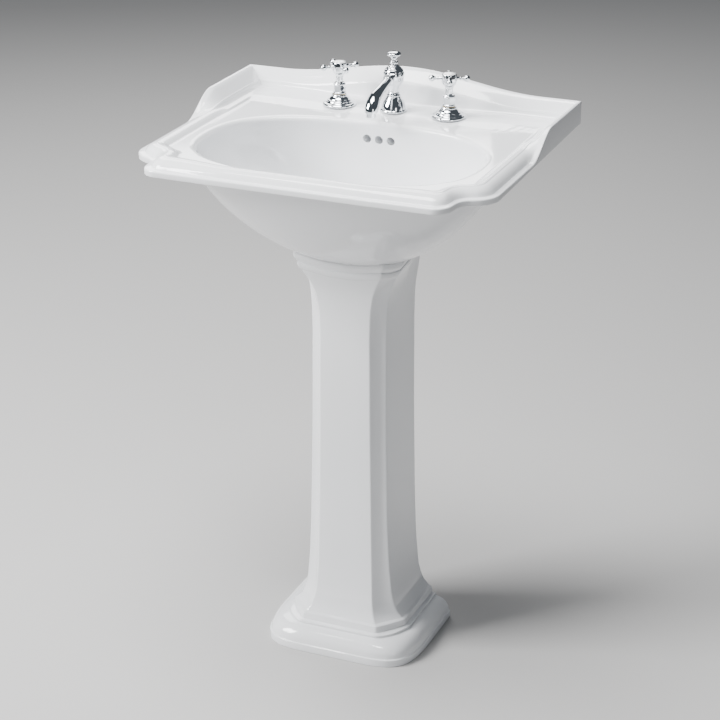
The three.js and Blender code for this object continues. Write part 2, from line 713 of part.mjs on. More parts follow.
function spoutArm() {
  const sides = 12;
  const rings = SPOUT_PATH.map(([y, z, width, thick], i) => {
    const [y0, z0] = SPOUT_PATH[Math.max(0, i - 1)];
    const [y1, z1] = SPOUT_PATH[Math.min(SPOUT_PATH.length - 1, i + 1)];
    const last = i === SPOUT_PATH.length - 1;
    const along = last ? [0, -1] : [y1 - y0, z1 - z0];
    const length = Math.hypot(...along);
    const normal = [-along[1] / length, along[0] / length];
    return Array.from({ length: sides }, (_, k) => {
      const angle = (2 * Math.PI * k) / sides + Math.PI / sides;
      return [
        width * Math.cos(angle),
        y + normal[0] * thick * Math.sin(angle),
        z + normal[1] * thick * Math.sin(angle),
      ];
    });
  });
  return loft(rings, "strip");
}

const KNOB_BOTTOM = 86;
const LIFT_TRAVEL = 32;
const PIVOT = { z: -262, ball: 29, rod: 2.4 }; // the ball stands behind the waste's axis
const STRAP = { back: 4, top: -104, boss: -122, width: 12, thick: 2, hole: 4.2 };
const LEVER = WASTE_DISTANCE - PIVOT.ball - TAP_SETBACK; // ball to lift rod
const PIVOT_TILT = Math.asin(LIFT_TRAVEL / 2 / LEVER);
const PLUG_TRAVEL = (LIFT_TRAVEL * PIVOT.ball) / LEVER;

function addPopUp() {
  const lift = group(0, fromWall(TAP_SETBACK), DECK_HEIGHT);
  const knob = turned(
    [
      [0, 0], [4, 0], [4.2, 3], [10.8, 7.6], [11.6, 9.4], [11.4, 11.2], [9.2, 12.6], [5, 13.6], [0, 14],
    ].map(([r, z]) => [r, z + KNOB_BOTTOM]),
    18,
  );
  piece(lift, "popup_knob", knob.subtract(rod(2.6, KNOB_BOTTOM - 1, KNOB_BOTTOM + 6, 10)), CHROME);
  const strapBottom = PIVOT.z - LIFT_TRAVEL / 2 - 12;
  piece(lift, "lift_rod", rod(2.3, STRAP.boss - 3, KNOB_BOTTOM + 5.6, 10), CHROME);
  const strip = new THREE.BoxGeometry(STRAP.width, STRAP.thick, STRAP.top - strapBottom);
  const boss = new THREE.BoxGeometry(STRAP.width, 9.6, STRAP.top - STRAP.boss);
  const hole = rod(STRAP.hole, -10, 10, 12).rotate([90, 0, 0]);
  const strap = solidOf(strip.translate(0, STRAP.back, (STRAP.top + strapBottom) / 2))
    .add(solidOf(boss.translate(0, 0.2, (STRAP.top + STRAP.boss) / 2)))
    .subtract(rod(2.6, -200, 0, 10))
    .subtract(hole.translate([0, STRAP.back, PIVOT.z - LIFT_TRAVEL / 2]))
    .subtract(rod(1.9, 0, 20, 8).rotate([90, 0, 0]).translate([0, 0, (STRAP.top + STRAP.boss) / 2]));
  piece(lift, "lift_strap", strap, STEEL);
  const screw = turned([[0, 2.7], [1.6, 2.7], [1.6, 5.4], [5, 5.4], [5, 8.6], [0, 8.6]], 10);
  piece(
    lift,
    "lift_screw",
    screw.rotate([90, 0, 0]).translate([0, 0, (STRAP.top + STRAP.boss) / 2]),
    CHROME,
  );

  // The pivot rod tilts on its ball: its outer end goes through the strap and its inner end
  // carries the plug. At rest the knob is down, so the outer end is low.
  const pivot = group(0, fromWall(WASTE_DISTANCE - PIVOT.ball), DECK_HEIGHT + PIVOT.z);
  pivot.rotation.x = -RIGHT_ANGLE - PIVOT_TILT;
  const ball = turned(
    [
      [0, -PIVOT.ball - 3], [PIVOT.rod, -PIVOT.ball - 3], [PIVOT.rod, -5.5], [4.6, -3.9], [6, 0], [4.6, 3.9],
      [PIVOT.rod, 5.5], [PIVOT.rod, LEVER + 14], [0, LEVER + 14],
    ],
    12,
  );
  piece(pivot, "pivot_rod", ball, STEEL);

  const waste = group(0, fromWall(WASTE_DISTANCE), DECK_HEIGHT);
  const open = PLUG_TRAVEL;
  const stemBottom = PIVOT.z + LIFT_TRAVEL / 2 * (PIVOT.ball / LEVER) + PIVOT.rod + 0.8;
  let plug = turned(
    [
      [0, stemBottom], [4, stemBottom], [4, open - 172], [10, open - 171.6],
      [10, open - 169], [19.8, open - 169],
      [20, open - 167.4], [17, open - 165.8], [10, open - 164.6], [0, open - 164.2],
    ],
    18,
  );
  for (const turn of [0, 120, 240]) {
    const fin = new THREE.BoxGeometry(12, 2, 46).translate(9.4, 0, open - 172 - 27);
    plug = plug.add(solidOf(fin).rotate([0, 0, turn + 30]));
  }
  piece(waste, "plug", plug, CHROME);
  piece(waste, "plug_seal", rod(19.4, open - 171.3, open - 169 - GAP, 16, 10 + LOOSE), RUBBER);
  return waste;
}

// ---- Waste and trap -----------------------------------------------------------------------------
const TRAP = { r: 27, cup: 25, wall: 2, top: -310, joint: -374, bottom: -440, outlet: -345, pipe: 16 };

function addWaste(waste) {
  // Flange in the bowl, threaded tube with its overflow slot, pivot port and tail in one piece.
  const { r, bore, body } = WASTE_FLANGE;
  let tube = turned(
    [
      [bore, -165.6], [r - 3, -164.8], [r, -166.4], [r, -167.7], [body, -168], [body, -276],
      [TRAP.pipe - 0.4, -280], [TRAP.pipe - 0.4, -318], [TRAP.pipe - 2.4, -318],
      [TRAP.pipe - 2.4, -280], [17, -276], [17, -172], [bore - 1, -171.8],
    ],
    18,
  );
  const port = rod(10, 17.5, 36, 12).rotate([-90, 0, 0]).translate([0, 0, PIVOT.z]);
  const portBore = rod(6.4, 22, 40, 14)
    .add(rod(4.4, 10, 40, 12))
    .rotate([-90, 0, 0])
    .translate([0, 0, PIVOT.z]);
  const slot = new THREE.BoxGeometry(22, 60, 16).translate(0, 0, -185);
  tube = tube.add(port).subtract(portBore).subtract(solidOf(slot));
  piece(waste, "waste_body", tube, CHROME);
  const nut = turned(
    [[10 + GAP, 30], [13, 30], [13, 42], [4.4, 42], [4.4, 36 + GAP], [10 + GAP, 36 + GAP]],
    14,
  );
  piece(waste, "pivot_nut", nut.rotate([-90, 0, 0]).translate([0, 0, PIVOT.z]), CHROME);
  const under = BOSS_BOTTOM - GAP;
  piece(waste, "waste_washer", rod(34, under - 5, under, 16, body + LOOSE), RUBBER);
  piece(waste, "waste_backnut", hexagon(60, under - 14, under - 5 - GAP, body + LOOSE), BRASS);

  // Bottle trap: the body takes the tail, the cup unscrews and the outlet runs back to the wall.
  const cupTop = TRAP.joint - GAP;
  let trap = turned(
    [
      [TRAP.pipe, TRAP.top], [20, TRAP.top], [20, -328], [TRAP.r, -331], [TRAP.r, TRAP.joint],
      [TRAP.r - TRAP.wall, TRAP.joint],
      [TRAP.r - TRAP.wall, -333], [13, -333], [13, -405], [11, -405], [11, -322], [TRAP.pipe, -322],
    ],
    20,
  );
  const alongY = (solid) => solid.rotate([-90, 0, 0]).translate([0, 0, TRAP.outlet]);
  trap = trap
    .add(alongY(rod(TRAP.pipe, TRAP.r - 3, 62, 16)).subtract(rod(TRAP.r - 1, -380, -331, 20)))
    .subtract(alongY(rod(TRAP.pipe - 2.5, TRAP.r - 6, 66, 16)));
  piece(waste, "trap_body", trap, CHROME);
  piece(waste, "trap_inlet_nut", hexagon(47, -324, TRAP.top + 2, 20 + LOOSE).add(
    rod(22, TRAP.top + 1, TRAP.top + 5, 16, TRAP.pipe + LOOSE),
  ), CHROME);
  piece(
    waste,
    "trap_cup",
    turned([
      [0, TRAP.bottom], [18, TRAP.bottom], [TRAP.cup, TRAP.bottom + 8], [TRAP.cup, cupTop - 12],
      [TRAP.r + 1, cupTop - 12], [TRAP.r + 1, cupTop], [TRAP.cup - 2, cupTop],
      [TRAP.cup - 2, TRAP.bottom + 9], [17, TRAP.bottom + 2], [0, TRAP.bottom + 2],
    ], 20),
    CHROME,
  );
  const pipeEnd = WASTE_DISTANCE - 25;
  piece(waste, "outlet_pipe", alongY(rod(TRAP.pipe, 62 + GAP, pipeEnd, 16, TRAP.pipe - 1.5)), CHROME);
  piece(waste, "outlet_nut", alongY(rod(21.5, 52, 72, 12, TRAP.pipe + LOOSE)), CHROME);
}

// ---- The object ---------------------------------------------------------------------------------
const HOT_HANDLE_TURN = 45;
const COLD_HANDLE_TURN = 21;

piece(object, "basin", basinSolid(), CHINA);
piece(object, "pedestal", pedestalSolid(), CHINA);
addFixings();
addValve("hot", -TAP_SPACING / 2, HOT_HANDLE_TURN);
addValve("cold", TAP_SPACING / 2, COLD_HANDLE_TURN);
addSpout();
addWaste(addPopUp());

export default object;
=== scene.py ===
"""Pedestal sink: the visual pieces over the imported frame, their finishes, and a plain studio.

Sizes inside the classes are in millimetres, as a maker's drawing gives them, and every mesh is
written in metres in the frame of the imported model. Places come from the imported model.
"""

import json
import logging
import math
from dataclasses import dataclass, field
from enum import Enum
from typing import Callable, Optional, Sequence

import bmesh
import bpy
from mathutils import Matrix, Vector

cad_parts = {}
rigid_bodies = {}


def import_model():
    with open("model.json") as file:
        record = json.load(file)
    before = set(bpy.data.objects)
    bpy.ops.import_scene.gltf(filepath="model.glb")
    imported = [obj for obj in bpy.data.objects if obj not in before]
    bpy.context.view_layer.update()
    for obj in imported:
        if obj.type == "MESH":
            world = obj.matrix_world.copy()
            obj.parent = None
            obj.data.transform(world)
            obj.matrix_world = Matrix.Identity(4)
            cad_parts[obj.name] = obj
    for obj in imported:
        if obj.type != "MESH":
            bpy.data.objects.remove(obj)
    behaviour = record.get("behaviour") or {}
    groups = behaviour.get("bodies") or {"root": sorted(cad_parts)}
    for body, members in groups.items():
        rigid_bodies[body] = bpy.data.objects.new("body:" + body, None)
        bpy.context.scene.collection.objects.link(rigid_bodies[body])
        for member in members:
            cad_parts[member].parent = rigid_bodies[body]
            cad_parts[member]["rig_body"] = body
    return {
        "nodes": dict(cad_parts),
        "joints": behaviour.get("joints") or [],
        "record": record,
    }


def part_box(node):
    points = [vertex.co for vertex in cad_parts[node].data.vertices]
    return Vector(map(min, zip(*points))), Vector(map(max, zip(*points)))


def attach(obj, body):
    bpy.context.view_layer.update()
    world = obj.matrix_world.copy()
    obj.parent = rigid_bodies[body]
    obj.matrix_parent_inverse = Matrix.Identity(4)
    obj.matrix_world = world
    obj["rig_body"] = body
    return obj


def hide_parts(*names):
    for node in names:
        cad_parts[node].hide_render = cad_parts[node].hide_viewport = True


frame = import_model()

LOG = logging.getLogger("pedestal_sink")
MM = 0.001
GAP = 0.3
SHARP = math.radians(38)

Line = list[tuple[float, ...]]
Knot = tuple[Optional[float], ...]
Rings = list[list[tuple[float, float, float]]]


# ---- Lines and surfaces ---------------------------------------------------------------------------
def mix(a: float, b: float, t: float) -> float:
    """The value a share t of the way from a to b."""
    return a + (b - a) * t


def clamp01(t: float) -> float:
    """The value held between 0 and 1."""
    return min(1.0, max(0.0, t))


def smooth(t: float) -> float:
    """An even rise from 0 to 1 with level ends."""
    t = clamp01(t)
    return t * t * (3 - 2 * t)


def blend(a: Sequence[float], b: Sequence[float], t: float) -> tuple[float, ...]:
    """The point a share t of the way from a to b."""
    return tuple(mix(p, q, t) for p, q in zip(a, b))


def flow(points: Line, steps: int) -> Line:
    """A smooth line through points.

    Args:
        points: the points it passes.
        steps: pieces between two points.

    Returns:
        The points of the line, its ends included.
    """
    if len(points) == 2:
        return list(points)
    gaps = [max(1e-6, math.dist(a, b)) for a, b in zip(points, points[1:])]
    slopes = [tuple((q - p) / g for p, q in zip(a, b)) for a, b, g in zip(points, points[1:], gaps)]
    tangents = [slopes[0]]
    for i in range(1, len(points) - 1):
        tangents.append(blend(slopes[i - 1], slopes[i], gaps[i - 1] / (gaps[i - 1] + gaps[i])))
    tangents.append(slopes[-1])
    line: Line = [points[0]]
    for i, gap in enumerate(gaps):
        a, b, m, n = points[i], points[i + 1], tangents[i], tangents[i + 1]
        for step in range(1, steps + 1):
            t = step / steps
            near, far = 2 * t**3 - 3 * t**2 + 1, -2 * t**3 + 3 * t**2
            leave, reach = (t**3 - 2 * t**2 + t) * gap, (t**3 - t**2) * gap
            line.append(
                tuple(near * p + far * q + leave * u + reach * v for p, q, u, v in zip(a, b, m, n))
            )
    return line


def stretch(line: Line, start: float, end: float, count: int) -> Line:
    """Even points along part of a line.

    Args:
        line: the whole line.
        start: length left off at its start.
        end: length left off at its end.
        count: how many points come back.

    Returns:
        The points, evenly spaced.
    """
    lengths = [0.0]
    for a, b in zip(line, line[1:]):
        lengths.append(lengths[-1] + math.dist(a, b))
    whole = lengths[-1]
    start, end = min(start, 0.45 * whole), min(end, 0.45 * whole)
    result: Line = []
    place = 0
    for i in range(count):
        wanted = mix(start, whole - end, i / (count - 1))
        while place < len(line) - 2 and lengths[place + 1] < wanted:
            place += 1
        gap = lengths[place + 1] - lengths[place]
        share = (wanted - lengths[place]) / gap if gap > 1e-9 else 0.0
        result.append(blend(line[place], line[place + 1], clamp01(share)))
    return result


def contour(knots: Sequence[Knot], steps: int = 5, arc: int = 4) -> Line:
    """A line through knots, smooth or with rounded corners.

    Args:
        knots: points whose last value is None where the line flows through, or the radius of the
            corner there.
        steps: pieces between two knots of a smooth run.
        arc: pieces of a rounded corner.

    Returns:
        The points. Knots with the same corners always give the same number of points.
    """
    runs: list[list[Knot]] = []
    current = [knots[0]]
    for knot in knots[1:]:
        current.append(knot)
        if knot[-1] is not None:
            runs.append(current)
            current = [knot]
    if len(current) > 1:
        runs.append(current)
    radii = [run[0][-1] or 0.0 for run in runs] + [0.0]
    radii[0] = 0.0
    line: Line = []
    for i, run in enumerate(runs):
        whole = flow([tuple(knot[:-1]) for knot in run], steps)
        part = stretch(whole, radii[i], radii[i + 1], len(whole))
        if not line:
            line += part
        elif radii[i] > 0:
            before, corner = line[-1], whole[0]
            for step in range(1, arc):
                t = step / arc
                line.append(blend(blend(before, corner, t), blend(corner, part[0], t), t))
            line += part
        else:
            line += part[1:]
    return line


class Ends(Enum):
    """How a skin of rings is closed."""

    LOOP = "last ring joins the first"
    STRIP = "each end is closed between the two halves of its ring"
    FAN = "each end is closed round its middle"


def skin(rings: Rings, ends: Ends) -> tuple[Line, list[tuple[int, ...]]]:
    """Rings of equal length joined into one closed surface.

    Args:
        rings: the rings in order.
        ends: how the surface is closed.

    Returns:
        Points and faces.
    """
    count = len(rings[0])
    points: Line = [point for ring in rings for point in ring]
    faces: list[tuple[int, ...]] = []
    spans = len(rings) if ends is Ends.LOOP else len(rings) - 1
    for r in range(spans):
        above = (r + 1) % len(rings)
        for i in range(count):
            j = (i + 1) % count
            faces.append((r * count + i, r * count + j, above * count + j, above * count + i))
    if ends is Ends.LOOP:
        return points, faces
    for ring, turn in ((0, True), (len(rings) - 1, False)):
        base = ring * count
        if ends is Ends.STRIP:
            closing = [(i, i + 1, count - 2 - i, count - 1 - i) for i in range(count // 2 - 1)]
            quads = [tuple(base + k for k in quad) for quad in closing]
        else:
            hub = len(points)
            points.append(tuple(sum(p[k] for p in rings[ring]) / count for k in range(3)))
            quads = [(base + i, base + (i + 1) % count, hub) for i in range(count)]
        faces += [tuple(reversed(quad)) if turn else quad for quad in quads]
    return points, faces


def lathe(profile: Line, sides: int = 64) -> tuple[Line, list[tuple[int, ...]]]:
    """A surface turned about the Z axis.

    Args:
        profile: (radius, height) points. It starts and ends on the axis, or closes on itself.
        sides: how many flats it is turned with.

    Returns:
        Points and faces.
    """
    tube = profile[0][0] > 1e-6
    points: Line = []
    rows: list[list[int]] = []
    for radius, height in profile:
        first = len(points)
        if radius <= 1e-6:
            points.append((0.0, 0.0, height))
            rows.append([first] * sides)
            continue
        for i in range(sides):
            angle = 2 * math.pi * i / sides
            points.append((radius * math.cos(angle), radius * math.sin(angle), height))
        rows.append(list(range(first, first + sides)))
    faces: list[tuple[int, ...]] = []
    pairs = list(zip(rows, rows[1:]))
    if tube:
        pairs.append((rows[-1], rows[0]))
    for low, high in pairs:
        for i in range(sides):
            j = (i + 1) % sides
            corners = list(dict.fromkeys((low[i], low[j], high[j], high[i])))
            if len(corners) > 2:
                faces.append(tuple(corners))
    return points, faces


# ---- Objects --------------------------------------------------------------------------------------
def tidy_mesh(mesh: bpy.types.Mesh) -> None:
    """Merges doubled points and turns every face outwards."""
    work = bmesh.new()
    work.from_mesh(mesh)
    bmesh.ops.remove_doubles(work, verts=work.verts, dist=1e-6)
    bmesh.ops.dissolve_degenerate(work, edges=work.edges, dist=1e-6)
    bmesh.ops.recalc_face_normals(work, faces=work.faces)
    work.to_mesh(mesh)
    work.free()


def shape(name: str, surface: tuple[Line, list[tuple[int, ...]]], place: Matrix) -> bpy.types.Object:
    """An object at the origin from a surface in millimetres.

    Args:
        name: its name.
        surface: points and faces about the piece's own axis.
        place: where the piece's own axis stands, in millimetres.

    Returns:
        The object, with its place in its mesh.
    """
    points, faces = surface
    mesh = bpy.data.meshes.new(name)
    mesh.from_pydata([tuple((place @ Vector(p)) * MM) for p in points], [], faces)
    tidy_mesh(mesh)
    made = bpy.data.objects.new(name, mesh)
    bpy.context.scene.collection.objects.link(made)
    return made


def baked(made: bpy.types.Object) -> None:
    """Makes an object's modifiers part of its mesh and removes them."""
    bpy.context.view_layer.update()
    graph = bpy.context.evaluated_depsgraph_get()
    mesh = bpy.data.meshes.new_from_object(made.evaluated_get(graph))
    old = made.data
    made.modifiers.clear()
    made.data = mesh
    if old.users == 0:
        bpy.data.meshes.remove(old)


class Joining(Enum):
    """What a second solid does to the first."""

    ADD = "UNION"
    TAKE = "DIFFERENCE"


def combine(made: bpy.types.Object, others: list[bpy.types.Object], how: Joining) -> None:
    """Adds solids to an object, or takes them from it, and deletes them.

    Args:
        made: the object that stays.
        others: the solids used up.
        how: added or taken away.
    """
    for other in others:
        step = made.modifiers.new(other.name, "BOOLEAN")
        step.operation = how.value
        step.solver = "MANIFOLD"
        step.object = other
    baked(made)
    tidy_mesh(made.data)
    for other in others:
        bpy.data.objects.remove(other)


@dataclass
class Place:
    """Where things stand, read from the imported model, in millimetres."""

    joints: dict[str, Vector] = field(default_factory=dict)
    deck: float = 0.0
    wall: float = 0.0
    waste_y: float = 0.0

    def __post_init__(self) -> None:
        """Reads the hinges, the tap ledge, the wall and the axis of the waste."""
        for joint in frame["joints"]:
            if "pos_m" in joint:
                self.joints[joint["name"]] = Vector(joint["pos_m"]) / MM
        self.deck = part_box("hot_flange")[0].z / MM - GAP
        self.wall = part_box("basin")[1].y / MM
        low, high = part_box("trap_cup")
        self.waste_y = (low.y + high.y) / 2 / MM

    def tap(self, joint: str) -> Matrix:
        """The axis of a tap at the height of the ledge."""
        pin = self.joints[joint]
        return Matrix.Translation((pin.x, pin.y, self.deck))

    def spout(self) -> Matrix:
        """The axis of the spout at the height of the ledge."""
        return Matrix.Translation((0, self.joints["hot_handle_turn"].y, self.deck))

    def waste(self) -> Matrix:
        """The axis of the waste at the height of the ledge."""
        return Matrix.Translation((0, self.waste_y, self.deck))


# ---- Finishes -------------------------------------------------------------------------------------
class Figure(Enum):
    """The pattern that breaks up a finish."""

    CLOUD = "soft clouds"
    FLAKE = "zinc flakes"
    DRAWN = "lines along the draw"


@dataclass(frozen=True)
class Finish:
    """A finish made of a patterned colour, a patterned roughness and a shallow relief."""

    name: str
    slot: str
    light: tuple[float, float, float]
    dark: tuple[float, float, float]
    roughness: tuple[float, float]
    metallic: float = 0.0
    index: float = 1.5
    coat: float = 0.0
    figure: Figure = Figure.CLOUD
    scale: float = 30.0
    relief: float = 0.0
    relief_scale: float = 20.0

    def material(self) -> bpy.types.Material:
        """The Blender material, made once."""
        known = bpy.data.materials.get(self.name)
        return known or self._build()

    def _build(self) -> bpy.types.Material:
        """Builds the node tree of the material."""
        made = bpy.data.materials.new(self.name)
        made.use_nodes = True
        nodes, links = made.node_tree.nodes, made.node_tree.links
        shader = nodes["Principled BSDF"]
        shader.inputs["Metallic"].default_value = self.metallic
        shader.inputs["IOR"].default_value = self.index
        shader.inputs["Coat Weight"].default_value = self.coat
        shader.inputs["Coat Roughness"].default_value = 0.03
        place = nodes.new("ShaderNodeTexCoord").outputs["Object"]
        mapping = nodes.new("ShaderNodeMapping")
        links.new(place, mapping.inputs["Vector"])
        if self.figure is Figure.DRAWN:
            mapping.inputs["Scale"].default_value = (1.0, 1.0, 0.04)
        if self.figure is Figure.FLAKE:
            pattern = nodes.new("ShaderNodeTexVoronoi")
            value = pattern.outputs["Distance"]
        else:
            pattern = nodes.new("ShaderNodeTexNoise")
            pattern.inputs["Detail"].default_value = 3.0
            value = pattern.outputs["Fac"]
        pattern.inputs["Scale"].default_value = self.scale
        links.new(mapping.outputs["Vector"], pattern.inputs["Vector"])
        ramp = nodes.new("ShaderNodeValToRGB")
        ramp.color_ramp.elements[0].position = 0.35
        ramp.color_ramp.elements[1].position = 0.65
        ramp.color_ramp.elements[0].color = (*self.dark, 1.0)
        ramp.color_ramp.elements[1].color = (*self.light, 1.0)
        links.new(value, ramp.inputs["Fac"])
        links.new(ramp.outputs["Color"], shader.inputs["Base Color"])
        spread = nodes.new("ShaderNodeMapRange")
        spread.inputs["To Min"].default_value = self.roughness[0]
        spread.inputs["To Max"].default_value = self.roughness[1]
        links.new(value, spread.inputs["Value"])
        links.new(spread.outputs["Result"], shader.inputs["Roughness"])
        if self.relief > 0:
            grain = nodes.new("ShaderNodeTexNoise")
            grain.inputs["Scale"].default_value = self.relief_scale
            links.new(mapping.outputs["Vector"], grain.inputs["Vector"])
            bump = nodes.new("ShaderNodeBump")
            bump.inputs["Strength"].default_value = self.relief
            bump.inputs["Distance"].default_value = 0.001
            links.new(grain.outputs["Fac"], bump.inputs["Height"])
            links.new(bump.outputs["Normal"], shader.inputs["Normal"])
        return made


GLAZED_CHINA = Finish(
    "glazed_china", "china", (0.86, 0.87, 0.885), (0.845, 0.857, 0.875), (0.05, 0.075),
    index=1.56, coat=0.25, scale=4.0, relief=0.05, relief_scale=9.0,
)
BRIGHT_CHROME = Finish(
    "bright_chrome", "chrome", (0.83, 0.85, 0.87), (0.79, 0.81, 0.83), (0.035, 0.06),
    metallic=1.0, scale=60.0,
)
CAST_BRASS = Finish(
    "cast_brass", "brass", (0.74, 0.58, 0.28), (0.55, 0.42, 0.2), (0.3, 0.45),
    metallic=1.0, scale=90.0, relief=0.2, relief_scale=900.0,
)
DRAWN_COPPER = Finish(
    "drawn_copper", "copper", (0.8, 0.42, 0.27), (0.58, 0.29, 0.19), (0.24, 0.38),
    metallic=1.0, figure=Figure.DRAWN, scale=180.0,
)
BLACK_RUBBER = Finish(
    "black_rubber", "rubber", (0.035, 0.035, 0.037), (0.02, 0.02, 0.021), (0.7, 0.85),
    scale=160.0, relief=0.3, relief_scale=1400.0,
)
ZINC_STEEL = Finish(
    "zinc_steel", "zinc_steel", (0.62, 0.64, 0.66), (0.46, 0.48, 0.5), (0.28, 0.42),
    metallic=1.0, figure=Figure.FLAKE, scale=420.0,
)
WHITE_NYLON = Finish(
    "white_nylon", "nylon", (0.8, 0.8, 0.77), (0.74, 0.74, 0.71), (0.42, 0.55),
    scale=120.0, relief=0.15, relief_scale=900.0,
)
WHITE_ENAMEL = Finish(
    "white_enamel", "porcelain", (0.9, 0.9, 0.89), (0.86, 0.86, 0.85), (0.08, 0.12), coat=0.5, scale=70.0,
)
FINISHES = {
    finish.slot: finish
    for finish in (
        GLAZED_CHINA, BRIGHT_CHROME, CAST_BRASS, DRAWN_COPPER,
        BLACK_RUBBER, ZINC_STEEL, WHITE_NYLON, WHITE_ENAMEL,
    )
}


def dress(made: bpy.types.Object, finish: Finish, node: str, angle: float = SHARP) -> bpy.types.Object:
    """Gives a piece its finish and stands it for its CAD node.

    Args:
        made: the finished piece.
        finish: what it is made of.
        node: the CAD node it stands for, whose body it rides on.
        angle: edges sharper than this stay sharp.

    Returns:
        The piece.
    """
    made.data.materials.clear()
    made.data.materials.append(finish.material())
    made.data.polygons.foreach_set("material_index", [0] * len(made.data.polygons))
    made.data.shade_smooth()
    made.data.set_sharp_from_angle(angle=angle)
    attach(made, frame["nodes"][node]["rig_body"])
    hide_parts(node)
    LOG.info("%s: %d faces, %s", made.name, len(made.data.polygons), finish.name)
    return made


# ---- Geometry trees -------------------------------------------------------------------------------
class Tree:
    """A geometry tree with named inputs."""

    def __init__(self, name: str, inputs: dict[str, str]) -> None:
        """Makes the tree.

        Args:
            name: its name.
            inputs: the kind of socket of each input.
        """
        self.group = bpy.data.node_groups.new(name, "GeometryNodeTree")
        face = self.group.interface
        face.new_socket("Geometry", in_out="INPUT", socket_type="NodeSocketGeometry")
        for label, kind in inputs.items():
            face.new_socket(label, in_out="INPUT", socket_type=kind)
        face.new_socket("Geometry", in_out="OUTPUT", socket_type="NodeSocketGeometry")
        self.entry = self.group.nodes.new("NodeGroupInput").outputs
        self.exit = self.group.nodes.new("NodeGroupOutput").inputs

    def node(self, kind: str, links: dict[str, bpy.types.NodeSocket]) -> bpy.types.Node:
        """Adds a node.

        Args:
            kind: its Blender type.
            links: what feeds each of its inputs.

        Returns:
            The node.
        """
        made = self.group.nodes.new(kind)
        for label, source in links.items():
            self.group.links.new(source, made.inputs[label])
        return made

    def close(self, geometry: bpy.types.NodeSocket) -> None:
        """Ends the tree in real geometry with its material."""
        real = self.node("GeometryNodeRealizeInstances", {"Geometry": geometry})
        dressed = self.node(
            "GeometryNodeSetMaterial",
            {"Geometry": real.outputs["Geometry"], "Material": self.entry["Material"]},
        )
        self.group.links.new(dressed.outputs["Geometry"], self.exit["Geometry"])

    def run(self, made: bpy.types.Object, values: dict[str, object]) -> None:
        """Runs the tree on an object and makes the result its mesh.

        Args:
            made: the object.
            values: a value for each named input.
        """
        step = made.modifiers.new(self.group.name, "NODES")
        step.node_group = self.group
        for item in self.group.interface.items_tree:
            if item.in_out == "INPUT" and item.name in values:
                step[item.identifier] = values[item.name]
        baked(made)
        tidy_mesh(made.data)


def pipe_tree() -> Tree:
    """A round pipe along the edges of its object: inputs Radius, Sides and Material."""
    tree = Tree(
        "bent_pipe",
        {"Radius": "NodeSocketFloat", "Sides": "NodeSocketInt", "Material": "NodeSocketMaterial"},
    )
    path = tree.node("GeometryNodeMeshToCurve", {"Mesh": tree.entry["Geometry"]})
    circle = tree.node(
        "GeometryNodeCurvePrimitiveCircle",
        {"Radius": tree.entry["Radius"], "Resolution": tree.entry["Sides"]},
    )
    pipe = tree.node(
        "GeometryNodeCurveToMesh",
        {"Curve": path.outputs["Curve"], "Profile Curve": circle.outputs["Curve"]},
    )
    pipe.inputs["Fill Caps"].default_value = True
    tree.close(pipe.outputs["Mesh"])
    return tree


def ring_tree() -> Tree:
    """Copies of its object turned about the Z axis: inputs Count, Step, First and Material."""
    tree = Tree(
        "ring_of_copies",
        {
            "Count": "NodeSocketInt",
            "Step": "NodeSocketFloat",
            "First": "NodeSocketFloat",
            "Material": "NodeSocketMaterial",
        },
    )
    points = tree.node("GeometryNodePoints", {"Count": tree.entry["Count"]})
    index = tree.node("GeometryNodeInputIndex", {})
    turn = tree.group.nodes.new("ShaderNodeMath")
    turn.operation = "MULTIPLY_ADD"
    for slot, source in enumerate((index.outputs["Index"], tree.entry["Step"], tree.entry["First"])):
        tree.group.links.new(source, turn.inputs[slot])
    turned = tree.node("ShaderNodeCombineXYZ", {"Z": turn.outputs["Value"]})
    copies = tree.node(
        "GeometryNodeInstanceOnPoints",
        {
            "Points": points.outputs["Geometry"],
            "Instance": tree.entry["Geometry"],
            "Rotation": turned.outputs["Vector"],
        },
    )
    tree.close(copies.outputs["Instances"])
    return tree


@dataclass
class Trees:
    """The geometry trees that several pieces share."""

    pipe: Tree = field(default_factory=pipe_tree)
    ring: Tree = field(default_factory=ring_tree)

    def around(
        self,
        name: str,
        surface: tuple[Line, list[tuple[int, ...]]],
        count: int,
        first: float,
        finish: Finish,
        place: Matrix,
    ) -> bpy.types.Object:
        """Copies of a surface spaced evenly about an axis.

        Args:
            name: the object's name.
            surface: one copy, in millimetres from the axis.
            count: how many copies.
            first: turn of the first, in degrees.
            finish: what they are made of.
            place: the axis, in millimetres.

        Returns:
            One object that holds every copy.
        """
        made = shape(name, surface, Matrix.Identity(4))
        values = {
            "Count": count,
            "Step": 2 * math.pi / count,
            "First": math.radians(first),
            "Material": finish.material(),
        }
        self.ring.run(made, values)
        made.data.transform(Matrix.Translation(place.translation * MM) @ place.to_3x3().to_4x4())
        return made

    def bent(
        self, name: str, path: Line, radius: float, finish: Finish, place: Matrix, sides: int = 32
    ) -> bpy.types.Object:
        """A pipe along a path.

        Args:
            name: the object's name.
            path: the points of its centre line, in millimetres.
            radius: its radius in millimetres.
            finish: what it is made of.
            place: where the path is drawn from, in millimetres.
            sides: flats round the pipe.

        Returns:
            The pipe.
        """
        mesh = bpy.data.meshes.new(name)
        points = [tuple((place @ Vector(p)) * MM) for p in path]
        mesh.from_pydata(points, [(i, i + 1) for i in range(len(points) - 1)], [])
        made = bpy.data.objects.new(name, mesh)
        bpy.context.scene.collection.objects.link(made)
        values = {"Radius": radius * MM, "Sides": sides, "Material": finish.material()}
        self.pipe.run(made, values)
        return made


